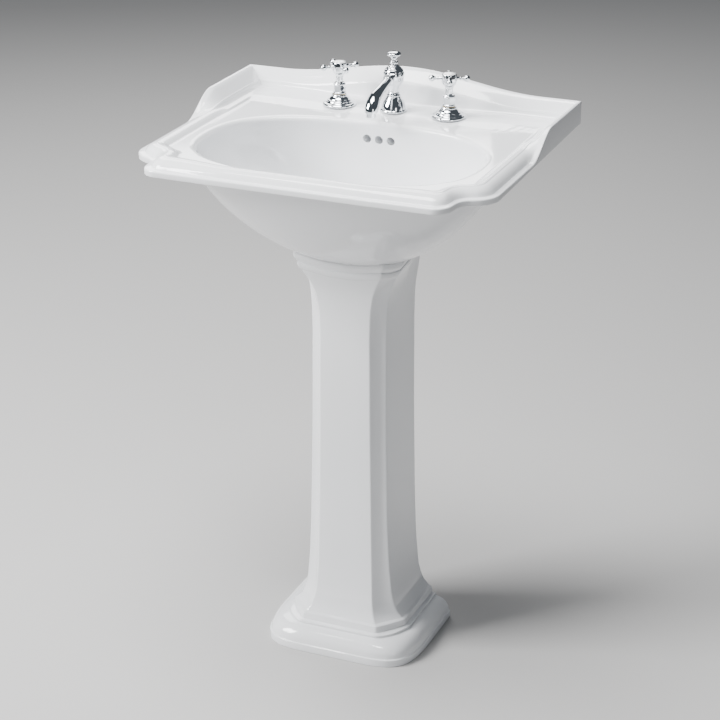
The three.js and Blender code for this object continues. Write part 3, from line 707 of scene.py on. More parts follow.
# ---- Basin ----------------------------------------------------------------------------------------
@dataclass
class Oval:
    """A superellipse that narrows as it goes down: the bowl, or the belly under it."""

    a: float
    b: float
    y: float
    y_low: float
    depth: float
    power: float
    fall: float
    close: float

    def share(self, t: float) -> float:
        """Share of the full width left at a share t of the depth."""
        return (1 - t**self.fall) ** (1 / self.close)

    def point(self, scale: float, y: float, towards: Sequence[float]) -> tuple[float, float]:
        """A point of the oval in the direction of another point.

        Args:
            scale: share of the full size.
            y: its middle.
            towards: the other point.

        Returns:
            X and Y.
        """
        dx, dy = towards[0] / self.a, (towards[1] - self.y) / self.b
        length = (abs(dx) ** self.power + abs(dy) ** self.power) ** (1 / self.power)
        return self.a * scale * dx / length, y + self.b * scale * dy / length

    def at(self, t: float, towards: Sequence[float]) -> tuple[float, float]:
        """A point of the oval at a share t of the depth."""
        return self.point(self.share(t), mix(self.y, self.y_low, t), towards)

    def depth_share(self, x: float, y: float) -> float:
        """Share of the depth at which the oval passes over a point in plan."""
        low, high = 0.0, 1.0
        for _ in range(26):
            t = (low + high) / 2
            scale = self.share(t)
            across = abs(x / (self.a * scale)) ** self.power
            along = abs((y - mix(self.y, self.y_low, t)) / (self.b * scale)) ** self.power
            if across + along < 1:
                low = t
            else:
                high = t
        return low


@dataclass
class Basin:
    """The china basin: rim moulding, serpentine upstand, tap ledge, bowl and belly."""

    place: Place
    width: float = 600.0
    depth: float = 502.0
    rim_width: float = 46.0
    rim_bottom: float = -19.0
    lip_top: float = -8.5
    upstand: float = 29.0
    crest_height: float = 26.5
    crest_reach: float = 235.0
    swoop_start: float = 120.0
    swoop_length: float = 88.0
    swoop_lead: float = 38.0
    corner_start: float = 399.0
    waste: float = 246.0
    recess: float = -3.0
    waste_hole: float = 23.0
    boss: float = 40.0
    boss_bottom: float = -209.0
    tap_hole: float = 15.0
    overflow_hole: float = 7.2
    overflow_spacing: float = 21.0
    overflow_drop: float = 33.0
    bolt_hole: float = 7.0
    bolt_x: float = 140.0
    bolt_drop: float = 66.0

    def __post_init__(self) -> None:
        """Sets the ovals from the place of the wall."""
        self.bowl = Oval(232, 154, self.y(302), self.y(self.waste), 163, 2.5, 1.7, 2.2)
        self.belly = Oval(250, 178, self.y(290), self.y(243), 190, 2.3, 1.5, 1.9)

    def y(self, distance: float) -> float:
        """Y at a distance from the wall."""
        return self.place.wall - distance

    def crest(self, x: float) -> float:
        """Height of the serpentine back above its corners."""
        t = min(1.0, abs(x) / self.crest_reach)
        return self.crest_height * (1 + math.cos(math.pi * t)) / 2

    def under(self, x: float, y: float) -> float:
        """Height of the belly's underside over a point in plan, from the deck."""
        return self.rim_bottom - self.belly.depth * self.belly.depth_share(x, y)

    @staticmethod
    def corner(start: tuple[float, float], moves: Sequence[tuple[float, float, float]]) -> Line:
        """Points round a notched corner.

        Args:
            start: where it begins, heading for -Y.
            moves: (turn at the start, turn at the end, radius) for an arc, or the same turn twice
                and a length for a straight; turns in degrees from -Y towards -X.

        Returns:
            The points.
        """
        steps = 12
        x, y = start
        points: Line = [start]
        for turn, end, size in moves:
            a, b = math.radians(turn), math.radians(end)
            if turn == end:
                x -= size * math.sin(a)
                y -= size * math.cos(a)
                points.append((x, y))
                continue
            sign = 1 if b > a else -1
            for i in range(steps):
                p, q = mix(a, b, i / steps), mix(a, b, (i + 1) / steps)
                x -= sign * size * (math.cos(p) - math.cos(q))
                y -= sign * size * (math.sin(q) - math.sin(p))
                points.append((x, y))
        return points

    def half_outline(self, inner: bool) -> Line:
        """Half of the plan, from the middle of the back to the middle of the front.

        Args:
            inner: True for the line where the rim meets the deck, False for the outer edge.

        Returns:
            The points; both lines have the same number.
        """
        half = self.width / 2
        side = half - self.rim_width if inner else half
        back_steps, side_steps, front_steps = 36, 58, 30
        points: Line = []
        for i in range(back_steps):
            x = side * i / back_steps
            points.append((x, self.y(33 + self.crest(x) * 0.55) if inner else self.y(0)))
        back = self.y(33) if inner else self.y(0)
        start = self.y(self.corner_start) + (14 if inner else 0)
        for i in range(side_steps):
            points.append((side, mix(back, start, i / side_steps)))
        inner_moves = [(0, 62, 14), (62, 62, 14), (62, 8, 34), (8, 8, 1), (8, 90, 12)]
        outer_moves = [(0, 62, 42), (62, 62, 8), (62, 8, 32), (8, 8, 14), (8, 90, 27)]
        points += self.corner((side, start), inner_moves if inner else outer_moves)
        end_x, end_y = points[-1]
        front = self.y(self.depth) + (self.rim_width if inner else 0)
        for i in range(1, front_steps + 1):
            t = i / front_steps
            points.append((end_x * (1 - t), mix(end_y, front, smooth(t * 2))))
        return points

    def knots(self, outer: Sequence[float], inner: Sequence[float]) -> list[Knot]:
        """The section of the basin through one point of its plan.

        Args:
            outer: the point on the outer edge.
            inner: the matching point on the deck line.

        Returns:
            Knots round the section, from the waste hole outwards, over the rim and back.
        """
        deck = self.place.deck
        line: list[Knot] = []

        def add(point: Sequence[float], height: float, radius: Optional[float] = None) -> None:
            """Adds one knot at a height above the deck."""
            line.append((point[0], point[1], deck + height, radius))

        def inset(distance: float) -> tuple[float, ...]:
            """The point a distance in from the outer edge."""
            return blend(outer, inner, distance / self.rim_width)

        def round_waste(radius: float) -> tuple[float, float]:
            """The point on a circle about the waste."""
            dx, dy = outer[0] / self.belly.a, (outer[1] - self.belly.y) / self.belly.b
            angle = math.atan2(dy, dx)
            return radius * math.cos(angle), self.y(self.waste) + radius * math.sin(angle)

        def share(distance: float) -> float:
            """Share of upstand: 0 on the moulded rim, 1 along the back."""
            start = self.y(self.swoop_start) - self.swoop_length
            start -= (1 - distance / self.rim_width) * self.swoop_lead
            return smooth((outer[1] - start) / self.swoop_length)

        top = self.upstand + self.crest(outer[0])
        low = mix(self.rim_bottom, self.rim_bottom + 9, clamp01((outer[1] - self.y(self.corner_start)) / 400))
        add(round_waste(self.waste_hole), self.boss_bottom, 0.0)
        add(round_waste(self.boss), self.boss_bottom, 3.0)
        for t in (0.985, 0.965, 0.93, 0.88, 0.81, 0.73, 0.64, 0.55, 0.46, 0.37, 0.28, 0.19, 0.1):
            add(self.belly.at(t, outer), self.rim_bottom - self.belly.depth * t)
        add(self.belly.at(0.0, outer), self.rim_bottom, 4.0)
        add(inset(8), low, 1.0)
        add(inset(0), low, 2.6)
        # (inset on the rim, height), (inset on the upstand, height below its top), corner radius.
        moulding = [
            ((0.0, self.lip_top), (0.0, 0.0), 2.8),
            ((9.4, self.lip_top), (4.5, 0.6), 0.9),
            ((10.6, -6.2), (9.0, 2.6), None),
            ((12.6, -2.8), (13.0, 6.2), None),
            ((16.5, 0.8), (17.5, 11.0), None),
            ((21.0, 2.9), (22.0, 15.6), None),
            ((25.2, 3.7), (25.4, 19.0), 0.5),
            ((26.2, 4.5), (26.2, 18.7), 0.5),
            ((28.6, 4.8), (28.4, 21.6), 0.6),
            ((29.4, 4.4), (29.0, 23.4), 0.5),
        ]
        for (rim_in, rim_z), (wall_in, drop), radius in moulding:
            part = share((rim_in + wall_in) / 2)
            add(inset(mix(rim_in, wall_in, part)), mix(rim_z, top - drop, part), radius)
        foot = top - 23.4
        for distance, rim_z in ((31.5, 4.3), (34.0, 3.7), (37.0, 2.4), (40.0, 0.4), (43.2, -2.0)):
            part = share(distance)
            reach = (distance - 29.0) / 15.0
            cove = 0.9 * (1 - reach) + (foot - 1) * (1 - reach) ** 4.5
            add(inset(distance), mix(rim_z, cove, part))
        add(inset(self.rim_width), self.ledge(inner[1]), 2.0)
        edge = self.bowl.point(1.0, self.bowl.y, outer)
        for t in (0.12, 0.24, 0.36, 0.48, 0.6, 0.72, 0.84):
            spot = blend(inner, edge, t)
            add(spot, self.ledge(spot[1]))
        add(edge, self.recess, 9.0)
        for t in (0.06, 0.12, 0.2, 0.28, 0.36, 0.45, 0.54, 0.63, 0.72, 0.8, 0.87, 0.92, 0.95):
            add(self.bowl.at(t, outer), self.recess - self.bowl.depth * t)
        bottom = self.recess - self.bowl.depth
        add(round_waste(37.0), bottom + 1.2, 1.2)
        add(round_waste(35.2), bottom - 2.0, 0.4)
        add(round_waste(self.waste_hole), bottom - 2.0, 0.0)
        return line

    def ledge(self, y: float) -> float:
        """Height of the deck: the tap ledge stands a little above the rest."""
        return mix(self.recess, 0.0, smooth((y - self.y(100)) / 12))

    def tool(self, radius: float, start: Vector, end: Vector) -> bpy.types.Object:
        """A round cutter between two points, in millimetres."""
        length = (end - start).length
        turn = (end - start).to_track_quat("Z", "Y").to_matrix().to_4x4()
        profile = [(0.0, 0.0), (radius, 0.0), (radius, length), (0.0, length)]
        return shape("cutter", lathe(profile, 48), Matrix.Translation(start) @ turn)

    def cutters(self) -> list[bpy.types.Object]:
        """The tap holes, the overflow holes and the bolt holes."""
        deck = self.place.deck
        tap_x = self.place.joints["cold_handle_turn"].x
        tap_y = self.place.joints["cold_handle_turn"].y
        tools = []
        for x in (-tap_x, 0.0, tap_x):
            low, high = Vector((x, tap_y, deck - 40)), Vector((x, tap_y, deck + 20))
            tools.append(self.tool(self.tap_hole, low, high))
        for x in (-self.overflow_spacing, 0.0, self.overflow_spacing):
            z = deck - self.overflow_drop
            front, end = Vector((x, self.y(172), z)), Vector((x, self.y(118), z))
            tools.append(self.tool(self.overflow_hole, front, end))
        for x in (-self.bolt_x, self.bolt_x):
            z = deck - self.bolt_drop
            front, end = Vector((x, self.y(40), z)), Vector((x, self.y(-10), z))
            tools.append(self.tool(self.bolt_hole, front, end))
        return tools

    def build(self) -> bpy.types.Object:
        """The basin with its wall block and its holes."""
        outer, inner = self.half_outline(False), self.half_outline(True)
        pairs = list(zip(outer, inner))
        pairs += [((-a[0], a[1]), (-b[0], b[1])) for a, b in reversed(pairs[1:-1])]
        sections = [contour(self.knots(a, b), steps=3, arc=4) for a, b in pairs]
        made = shape("basin_china", skin(sections, Ends.LOOP), Matrix.Identity(4))
        deck = self.place.deck
        corners = [(-165, 30), (165, 30), (165, 0), (-165, 0)]
        block = [[(x, self.y(d), deck + z) for x, d in corners] for z in (-104, -8)]
        combine(made, [shape("wall_block", skin(block, Ends.FAN), Matrix.Identity(4))], Joining.ADD)
        combine(made, self.cutters(), Joining.TAKE)
        return dress(made, GLAZED_CHINA, "basin")


# ---- Pedestal -------------------------------------------------------------------------------------
@dataclass
class Pedestal:
    """The faceted china pedestal, open at the back, with a moulded foot and a double-banded top."""

    place: Place
    basin: Basin
    wall: float = 11.0
    rear: float = 142.0
    # Height, half width, half front facet, distance of the front and of the chamfer's rear edge
    # from the wall, hollow of the chamfer, radius of the arrises, corner radius up the section.
    sections: tuple[Knot, ...] = (
        (0.0, 139.2, 82.6, 351.2, 264, -23, 20, 0.0),
        (0.9, 140, 83, 352, 264, -23, 20, 0.8),
        (13.0, 140, 83, 352, 264, -23, 20, 0.7),
        (14.2, 137.6, 82.0, 349.6, 264, -22.6, 20, 0.5),
        (22.5, 136.0, 81.2, 347.8, 264, -21.6, 19, None),
        (29.5, 131.6, 79.4, 343.0, 265, -19, 17, None),
        (34.6, 125.0, 76.8, 336.2, 266, -15.6, 14, None),
        (37.6, 115.6, 73.4, 327.6, 267, -11, 10, 0.4),
        (38.4, 111.8, 71.6, 324.0, 267, -9, 7, 0.4),
        (42.6, 112.6, 72, 324.6, 267, -7, 6, 1.0),
        (43.6, 105.4, 68.7, 316.4, 270, -2, 4, 0.8),
        (54.6, 104.2, 67.9, 314.8, 270, -1, 3, 1.6),
        (56.4, 99.2, 64.2, 309.2, 270, 0.5, 2.4, 0.8),
        (60.5, 94.6, 60.8, 305.6, 269.6, 1, 2.4, None),
        (68, 88.8, 56.8, 301, 269, 1.6, 2.4, None),
        (85, 82, 53, 295, 269, 2.5, 2.4, None),
        (125, 76.5, 50.5, 290, 269.5, 3, 2.4, None),
        (200, 72, 48.5, 288, 270, 3.2, 2.4, None),
        (310, 69.2, 46.8, 287, 269.6, 3.2, 2.4, None),
        (420, 67.2, 45.4, 287, 269, 3.2, 2.4, None),
        (510, 66.6, 44.9, 287, 268.5, 3.2, 2.4, None),
        (590, 66.5, 44.8, 287, 268, 3.2, 2.4, None),
        (625, 68.0, 47.2, 288.6, 268, 3, 2.4, None),
        (652, 72.0, 53.0, 292.2, 267, 2.6, 2.4, None),
    )
    # The same, with the height counted from the belly.
    bands: tuple[Knot, ...] = (
        (-26.0, 83.4, 69.0, 304.4, 266, 1.0, 2.4, 0.6),
        (-24.6, 85.6, 71.2, 306.8, 266, 0.8, 2.6, 1.0),
        (-20.0, 88.0, 73.4, 309.4, 266, 0.6, 3.0, None),
        (-15.6, 88.6, 74.0, 310.0, 266, 0.5, 3.0, 1.0),
        (-14.4, 87.4, 72.8, 308.8, 266, 0.4, 3.0, 0.5),
        (-12.8, 88.8, 74.2, 310.2, 266, 0.2, 3.0, 0.8),
        (-8.0, 92.6, 77.6, 314.0, 266, 0.0, 3.2, None),
        (-4.0, 93.0, 78.0, 314.5, 266, 0.0, 3.2, None),
        (-0.3, 92.6, 77.6, 314.1, 266, 0.0, 3.2, 0.0),
    )

    def ring(self, section: Sequence[float], height: Callable[[float, float], float]) -> Line:
        """One C-shaped ring: outer points from rear left to rear right, then the inner ones back.

        Args:
            section: one entry of sections or bands.
            height: Z of a point in plan.

        Returns:
            The points.
        """
        _, half_width, half_front, front, chamfer, flute, arris = section[:7]

        def path(inset: float) -> Line:
            """The right half, from the rear to the middle of the front."""
            side, facet = half_width - inset, half_front - inset * 0.45
            front_y = self.basin.y(front - inset)
            chamfer_y = self.basin.y(chamfer - inset * 0.45)
            hollow = 0.0 if inset else flute
            knots: list[Knot] = [
                (side, self.basin.y(self.rear), 0.0),
                (side, mix(self.basin.y(self.rear), chamfer_y, 0.5), 0.0),
                (side, chamfer_y, arris),
            ]
            for t in (0.2, 0.4, 0.6, 0.8):
                sink = hollow * math.sin(math.pi * t)
                knots.append(
                    (mix(side, facet, t) - sink * 0.6, mix(chamfer_y, front_y, t) + sink * 0.8, None)
                )
            knots.append((facet, front_y, arris))
            knots.append((facet * 0.3, front_y, 0.0))
            return contour(knots, steps=4, arc=5)

        def both(inset: float) -> Line:
            """Both halves, from rear left to rear right."""
            right = path(inset)
            return [(-x, y) for x, y in right] + list(reversed(right))

        return [(x, y, height(x, y)) for x, y in both(0.0) + list(reversed(both(self.wall)))]

    def build(self) -> bpy.types.Object:
        """The pedestal with the two lugs in its foot."""
        deck = self.place.deck
        rings: Rings = []
        radii: list[Optional[float]] = []
        for section in self.sections:
            rings.append(self.ring(section, lambda x, y, z=section[0]: z))
            radii.append(section[-1])
        for band in self.bands:
            rings.append(
                self.ring(band, lambda x, y, z=band[0]: deck + self.basin.under(x, y) + z)
            )
            radii.append(band[-1])
        columns = [
            contour([(*ring[i], radius) for ring, radius in zip(rings, radii)], steps=4, arc=3)
            for i in range(len(rings[0]))
        ]
        dense = [[column[k] for column in columns] for k in range(len(columns[0]))]
        made = shape("pedestal_china", skin(dense, Ends.STRIP), Matrix.Identity(4))
        lugs, holes = [], []
        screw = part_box("floor_screw_right")
        x, y = (screw[0].x + screw[1].x) / 2 / MM, (screw[0].y + screw[1].y) / 2 / MM
        for side in (-1, 1):
            plan = [(side * (x - 18), y - 20), (side * (x + 30), y - 20)]
            plan += [(side * (x + 30), y + 20), (side * (x - 18), y + 20)]
            lug = [[(px, py, z) for px, py in plan] for z in (0.0, 12.0)]
            lugs.append(shape("lug", skin(lug, Ends.FAN), Matrix.Identity(4)))
            profile = [(0.0, -2.0), (4.5, -2.0), (4.5, 14.0), (0.0, 14.0)]
            holes.append(shape("hole", lathe(profile, 32), Matrix.Translation((side * x, y, 0))))
        combine(made, lugs, Joining.ADD)
        combine(made, holes, Joining.TAKE)
        return dress(made, GLAZED_CHINA, "pedestal")


# ---- Taps -----------------------------------------------------------------------------------------
def hexagon(flats: float, bottom: float, top: float, chamfer: float) -> tuple[Line, list[tuple[int, ...]]]:
    """A solid hexagon with chamfered ends.

    Args:
        flats: its width across flats.
        bottom: height of its base.
        top: height of its top.
        chamfer: how far its ends are cut in.

    Returns:
        Points and faces.
    """
    radius = flats / math.sqrt(3)
    profile = [
        (0.0, bottom), (radius - chamfer, bottom), (radius, bottom + chamfer * 0.6),
        (radius, top - chamfer * 0.6), (radius - chamfer, top), (0.0, top),
    ]
    return lathe(profile, 6)


@dataclass
class CrossTap:
    """One tap: bell flange, hexagonal headwork, spindle, cross handle and white index."""

    place: Place
    trees: Trees
    name: str
    joint: str
    turn: float
    flange: tuple[Knot, ...] = (
        (11.0, 0.3, 0.0), (28.0, 0.3, 0.3), (28.6, 1.4, None), (28.2, 3.0, 0.3), (26.6, 4.2, None),
        (23.6, 5.0, None), (21.6, 6.4, 0.3), (20.8, 8.2, None), (19.4, 9.2, 0.3), (18.2, 9.5, 0.2),
        (16.8, 11.6, None), (14.4, 13.8, None), (13.2, 15.4, 0.3), (13.2, 16.6, 0.3),
        (12.2, 18.2, 0.3), (11.0, 18.2, 0.0), (11.0, 0.3, 0.0),
    )
    hub: tuple[Knot, ...] = (
        (0.0, 48.5, 0.0), (6.6, 48.5, 0.4), (7.2, 50.6, None), (8.6, 53.4, None), (11.2, 56.4, None),
        (12.2, 58.6, 0.3), (12.4, 60.0, None), (12.6, 64.0, None), (12.4, 68.0, None),
        (12.2, 70.4, 0.3), (11.8, 72.0, None), (11.3, 72.7, 0.2), (10.8, 72.7, 0.1),
        (10.8, 70.2, 0.0), (0.0, 70.2, 0.0),
    )
    arm: tuple[Knot, ...] = (
        (0.0, 8.0, 0.0), (3.9, 8.0, 0.0), (3.3, 12.2, None), (2.5, 15.6, None), (2.3, 17.6, 0.2),
        (3.1, 18.2, 0.2), (3.1, 19.4, 0.2), (2.3, 20.0, 0.2), (2.2, 22.2, None), (2.7, 23.7, 0.2),
        (4.4, 25.5, None), (5.3, 28.3, None), (4.9, 30.9, None), (3.2, 33.0, None), (0.0, 34.0, 0.0),
    )
    arm_height: float = 65.0

    def build(self) -> None:
        """Makes every visible piece of the tap."""
        at = self.place.tap(self.joint)
        flange = shape(f"{self.name}_bell_flange", lathe(contour(self.flange)[:-1], 96), at)
        dress(flange, BRIGHT_CHROME, f"{self.name}_flange")
        self.headwork(at)
        self.handle(at)
        spindle = contour([
            (0.0, -26.0, 0.0), (3.6, -26.0, 0.2), (3.6, 38.4, 0.0), (5.2, 38.5, 0.3), (6.0, 40.0, None),
            (6.2, 42.0, None), (6.2, 48.2, 0.2), (3.0, 48.2, 0.0), (3.0, 63.4, 0.2), (0.0, 63.4, 0.0),
        ])
        dress(shape(f"{self.name}_stem", lathe(spindle, 64), at), BRIGHT_CHROME, f"{self.name}_spindle")
        index = contour([
            (0.0, 70.5, 0.0), (10.5, 70.5, 0.2), (10.5, 72.2, 0.4), (8.6, 73.7, None), (5.0, 74.6, None),
            (0.0, 75.0, 0.0),
        ])
        dress(shape(f"{self.name}_enamel_index", lathe(index, 64), at), WHITE_ENAMEL, f"{self.name}_index")

    def headwork(self, at: Matrix) -> None:
        """The hexagonal sleeve between its two collars."""
        lower = contour([
            (0.0, -24.0, 0.0), (5.8, -24.0, 0.2), (5.8, 18.5, 0.0), (9.6, 18.6, 0.4), (10.6, 20.0, None),
            (10.4, 21.4, 0.3), (9.2, 22.6, 0.3), (0.0, 23.0, 0.0),
        ])
        upper = contour([
            (0.0, 33.0, 0.0), (9.2, 33.2, 0.2), (10.2, 34.4, 0.3), (10.4, 35.4, None), (9.8, 36.6, 0.3),
            (8.2, 37.0, 0.3), (7.8, 38.2, 0.2), (0.0, 38.2, 0.0),
        ])
        made = shape(f"{self.name}_hexagonal_headwork", lathe(lower, 72), at)
        others = [
            shape("sleeve", hexagon(18.6, 22.0, 34.0, 0.6), at),
            shape("collar", lathe(upper, 72), at),
        ]
        combine(made, others, Joining.ADD)
        bore = [(0.0, -30.0), (3.9, -30.0), (3.9, 50.0), (0.0, 50.0)]
        combine(made, [shape("bore", lathe(bore, 48), at)], Joining.TAKE)
        dress(made, BRIGHT_CHROME, f"{self.name}_headwork", math.radians(28))

    def handle(self, at: Matrix) -> None:
        """The hub with its ball-ended arms, as four copies about the axis."""
        made = shape(f"{self.name}_cross_handle", lathe(contour(self.hub), 72), at)
        points, faces = lathe(contour(self.arm), 32)
        along = [(z, x, y) for x, y, z in points]
        arms_at = at @ Matrix.Translation((0, 0, self.arm_height))
        arms = self.trees.around("arms", (along, faces), 4, self.turn, BRIGHT_CHROME, arms_at)
        combine(made, [arms], Joining.ADD)
        broach = [(0.0, 40.0), (3.4, 40.0), (3.4, 64.0), (2.3, 64.0), (2.3, 75.0), (0.0, 75.0)]
        combine(made, [shape("broach", lathe(broach, 32), at)], Joining.TAKE)
        dress(made, BRIGHT_CHROME, f"{self.name}_handle")


@dataclass
class Spout:
    """The spout: bell base, acorn bulb, curved arm with its collar, nozzle and lift knob, with the body bored
    for the lift rod.
    """

    place: Place
    body: tuple[Knot, ...] = (
        (3.2, -62.0, 0.0), (10.4, -62.0, 0.3), (10.4, 0.3, 0.0), (22.2, 0.3, 0.3), (22.9, 1.6, None),
        (22.4, 3.4, 0.3), (21.2, 4.4, 0.3), (20.9, 6.0, None), (19.4, 11.0, None), (16.6, 16.6, None),
        (13.6, 21.4, None), (12.0, 24.4, 0.3), (11.0, 25.2, 0.2), (11.8, 26.2, 0.3), (11.6, 27.6, 0.3),
        (10.0, 28.8, 0.3), (9.6, 31.0, 0.3), (8.8, 32.2, 0.2), (8.7, 34.0, None), (9.4, 37.4, None),
        (11.8, 42.6, None), (14.8, 48.4, None), (17.0, 54.6, None), (17.6, 60.4, None),
        (17.0, 65.2, 0.3), (16.0, 66.2, 0.2), (15.8, 68.0, None), (14.4, 70.6, 0.3), (12.8, 71.4, 0.2),
        (12.4, 72.8, None), (10.4, 74.6, 0.2), (8.6, 75.0, 0.2), (8.0, 76.6, None), (6.2, 77.6, None),
        (5.6, 79.2, 0.2), (6.5, 80.4, None), (6.8, 81.9, None), (6.5, 83.4, None), (5.4, 84.8, 0.2),
        (3.2, 85.0, 0.0), (3.2, -62.0, 0.0),
    )
    # Distance in front of the axis, height, half width, half thickness, corner radius.
    arm: tuple[Knot, ...] = (
        (-17.5, 58.2, 7.8, 7.8, 0.0),
        (-23.0, 57.2, 7.8, 7.8, 0.3),
        (-23.4, 57.1, 9.4, 9.4, 0.3),
        (-25.0, 56.8, 9.9, 9.9, None),
        (-26.8, 56.4, 9.4, 9.4, 0.3),
        (-27.4, 56.3, 7.3, 7.3, 0.3),
        (-33.0, 55.2, 7.2, 7.1, None),
        (-44.0, 53.0, 7.5, 7.3, None),
        (-57.0, 50.0, 8.2, 7.7, None),
        (-70.0, 46.6, 9.2, 8.4, None),
        (-81.0, 42.4, 10.2, 9.2, None),
        (-89.5, 36.6, 10.9, 10.0, None),
        (-95.0, 30.2, 11.2, 10.3, None),
        (-97.4, 25.4, 11.1, 10.3, None),
        (-98.0, 22.9, 10.6, 9.9, 0.8),
        (-98.0, 22.6, 9.4, 8.8, 0.0),
    )
    knob: tuple[Knot, ...] = (
        (0.0, 86.0, 0.0), (3.9, 86.0, 0.3), (4.1, 88.0, None), (4.8, 90.0, None), (7.6, 92.2, None),
        (10.4, 93.6, 0.4), (11.4, 94.6, 0.4), (11.7, 96.0, None), (11.3, 97.4, 0.3), (9.4, 98.6, None),
        (5.4, 99.6, None), (0.0, 100.0, 0.0),
    )

    level_from: float = -96.5

    def arm_rings(self, sides: int = 56) -> Rings:
        """The rings of the arm along its path.

        Args:
            sides: points round each ring.

        Returns:
            The rings, about the spout's axis.
        """
        line = contour(self.arm, steps=4, arc=3)
        rings: Rings = []
        for i, (y, z, width, thick) in enumerate(line):
            ahead, behind = line[min(i + 3, len(line) - 1)], line[max(0, i - 3)]
            along = Vector((ahead[0] - behind[0], ahead[1] - behind[1]))
            if y < self.level_from:
                down = Vector((0.0, -along.length))
                along = along.lerp(down, smooth((self.level_from - y) / 1.5))
            along.normalize()
            turns = [2 * math.pi * (k + 0.5) / sides for k in range(sides)]
            rings.append([
                (
                    width * math.cos(a),
                    y - along.y * thick * math.sin(a),
                    z + along.x * thick * math.sin(a),
                )
                for a in turns
            ])
        return rings

    def build(self) -> None:
        """Makes every visible piece of the spout."""
        at = self.place.spout()
        body = shape("spout_bell_body", lathe(contour(self.body)[:-1], 96), at)
        outlets = []
        for side in (-90, 90):
            profile = [(0.0, 9.0), (7.6, 9.0), (7.6, 22.0), (0.0, 22.0)]
            turn = Matrix.Translation((0, 0, -52)) @ Matrix.Rotation(math.radians(side), 4, "Y")
            outlets.append(shape("outlet", lathe(profile, 40), at @ turn))
        combine(body, outlets, Joining.ADD)
        dress(body, BRIGHT_CHROME, "spout_body")
        arm = shape("spout_curved_arm", skin(self.arm_rings(), Ends.FAN), at)
        dress(arm, BRIGHT_CHROME, "spout_arm")
        tip = at @ Matrix.Translation((0, -98.0, 0))
        nozzle = contour([
            (4.2, 14.6, 0.0), (7.4, 14.6, 0.4), (8.0, 16.0, 0.4), (8.0, 22.2, 0.0), (4.2, 22.2, 0.0),
            (4.2, 14.6, 0.0),
        ])
        dress(shape("spout_outlet_ring", lathe(nozzle[:-1], 64), tip), BRIGHT_CHROME, "spout_nozzle")
        knob = shape("lift_knob", lathe(contour(self.knob), 72), at)
        dress(knob, BRIGHT_CHROME, "popup_knob")


# ---- Waste and pipework ---------------------------------------------------------------------------
@dataclass
class Waste:
    """The pop-up waste under the bowl: flange and tube, plug, and its pivot nut."""

    place: Place
    trees: Trees
    pivot_height: float = -262.0

    def build(self) -> None:
        """Makes the waste body, the plug and the pivot nut."""
        at = self.place.waste()
        tube = contour([
            (21.8, -165.8, 0.0), (24.0, -164.9, None), (28.0, -164.6, None), (32.2, -165.4, None),
            (34.0, -166.8, 0.3), (33.6, -167.7, 0.2), (21.5, -168.0, 0.0), (21.5, -276.0, 1.0),
            (15.6, -280.0, 0.6), (15.6, -318.0, 0.0), (13.6, -318.0, 0.0), (13.6, -280.0, 0.0),
            (17.0, -276.0, 0.0), (17.0, -172.0, 0.0), (21.0, -171.8, 0.0), (21.8, -165.8, 0.0),
        ])
        made = shape("waste_flange_and_tube", lathe(tube[:-1], 72), at)
        back = at @ Matrix.Translation((0, 0, self.pivot_height)) @ Matrix.Rotation(-math.pi / 2, 4, "X")
        port = [(0.0, 17.5), (10.0, 17.5), (10.0, 36.0), (0.0, 36.0)]
        combine(made, [shape("port", lathe(port, 48), back)], Joining.ADD)
        bore = [(0.0, 10.0), (4.4, 10.0), (4.4, 22.0), (6.4, 22.0), (6.4, 40.0), (0.0, 40.0)]
        slot = [[(x, y, z) for x, y in ((-11, -30), (11, -30), (11, 30), (-11, 30))] for z in (-193, -177)]
        cuts = [shape("bore", lathe(bore, 48), back), shape("slot", skin(slot, Ends.FAN), at)]
        combine(made, cuts, Joining.TAKE)
        dress(made, BRIGHT_CHROME, "waste_body")
        self.plug(at)
        nut = contour([
            (10.3, 30.0, 0.0), (12.4, 30.0, 0.4), (13.0, 31.2, 0.3), (13.0, 40.8, 0.5), (11.8, 42.0, 0.5),
            (4.4, 42.0, 0.0), (4.4, 36.3, 0.0), (10.3, 36.3, 0.0), (10.3, 30.0, 0.0),
        ])
        dress(shape("pivot_cap_nut", lathe(nut[:-1], 48), back), BRIGHT_CHROME, "pivot_nut")

    def plug(self, at: Matrix) -> None:
        """The plug with its three fins, from the heights of its CAD node."""
        low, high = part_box("plug")
        bottom, top = low.z / MM - self.place.deck, high.z / MM - self.place.deck
        profile = contour([
            (0.0, bottom, 0.0), (4.0, bottom, 0.2), (4.0, top - 7.8, 0.0), (10.0, top - 7.4, 0.2),
            (10.0, top - 4.8, 0.2), (19.7, top - 4.8, 0.3), (20.0, top - 3.6, None),
            (18.8, top - 2.0, None), (15.0, top - 0.9, None), (8.0, top - 0.2, None), (0.0, top, 0.0),
        ])
        made = shape("waste_plug", lathe(profile, 72), at)
        plan = [(3.4, -1.0), (15.4, -1.0), (15.4, 1.0), (3.4, 1.0)]
        fin = [[(x, y, z) for x, y in plan] for z in (top - 57.8, top - 11.8)]
        fins = self.trees.around("fins", skin(fin, Ends.FAN), 3, 30.0, BRIGHT_CHROME, at)
        combine(made, [fins], Joining.ADD)
        dress(made, BRIGHT_CHROME, "plug")


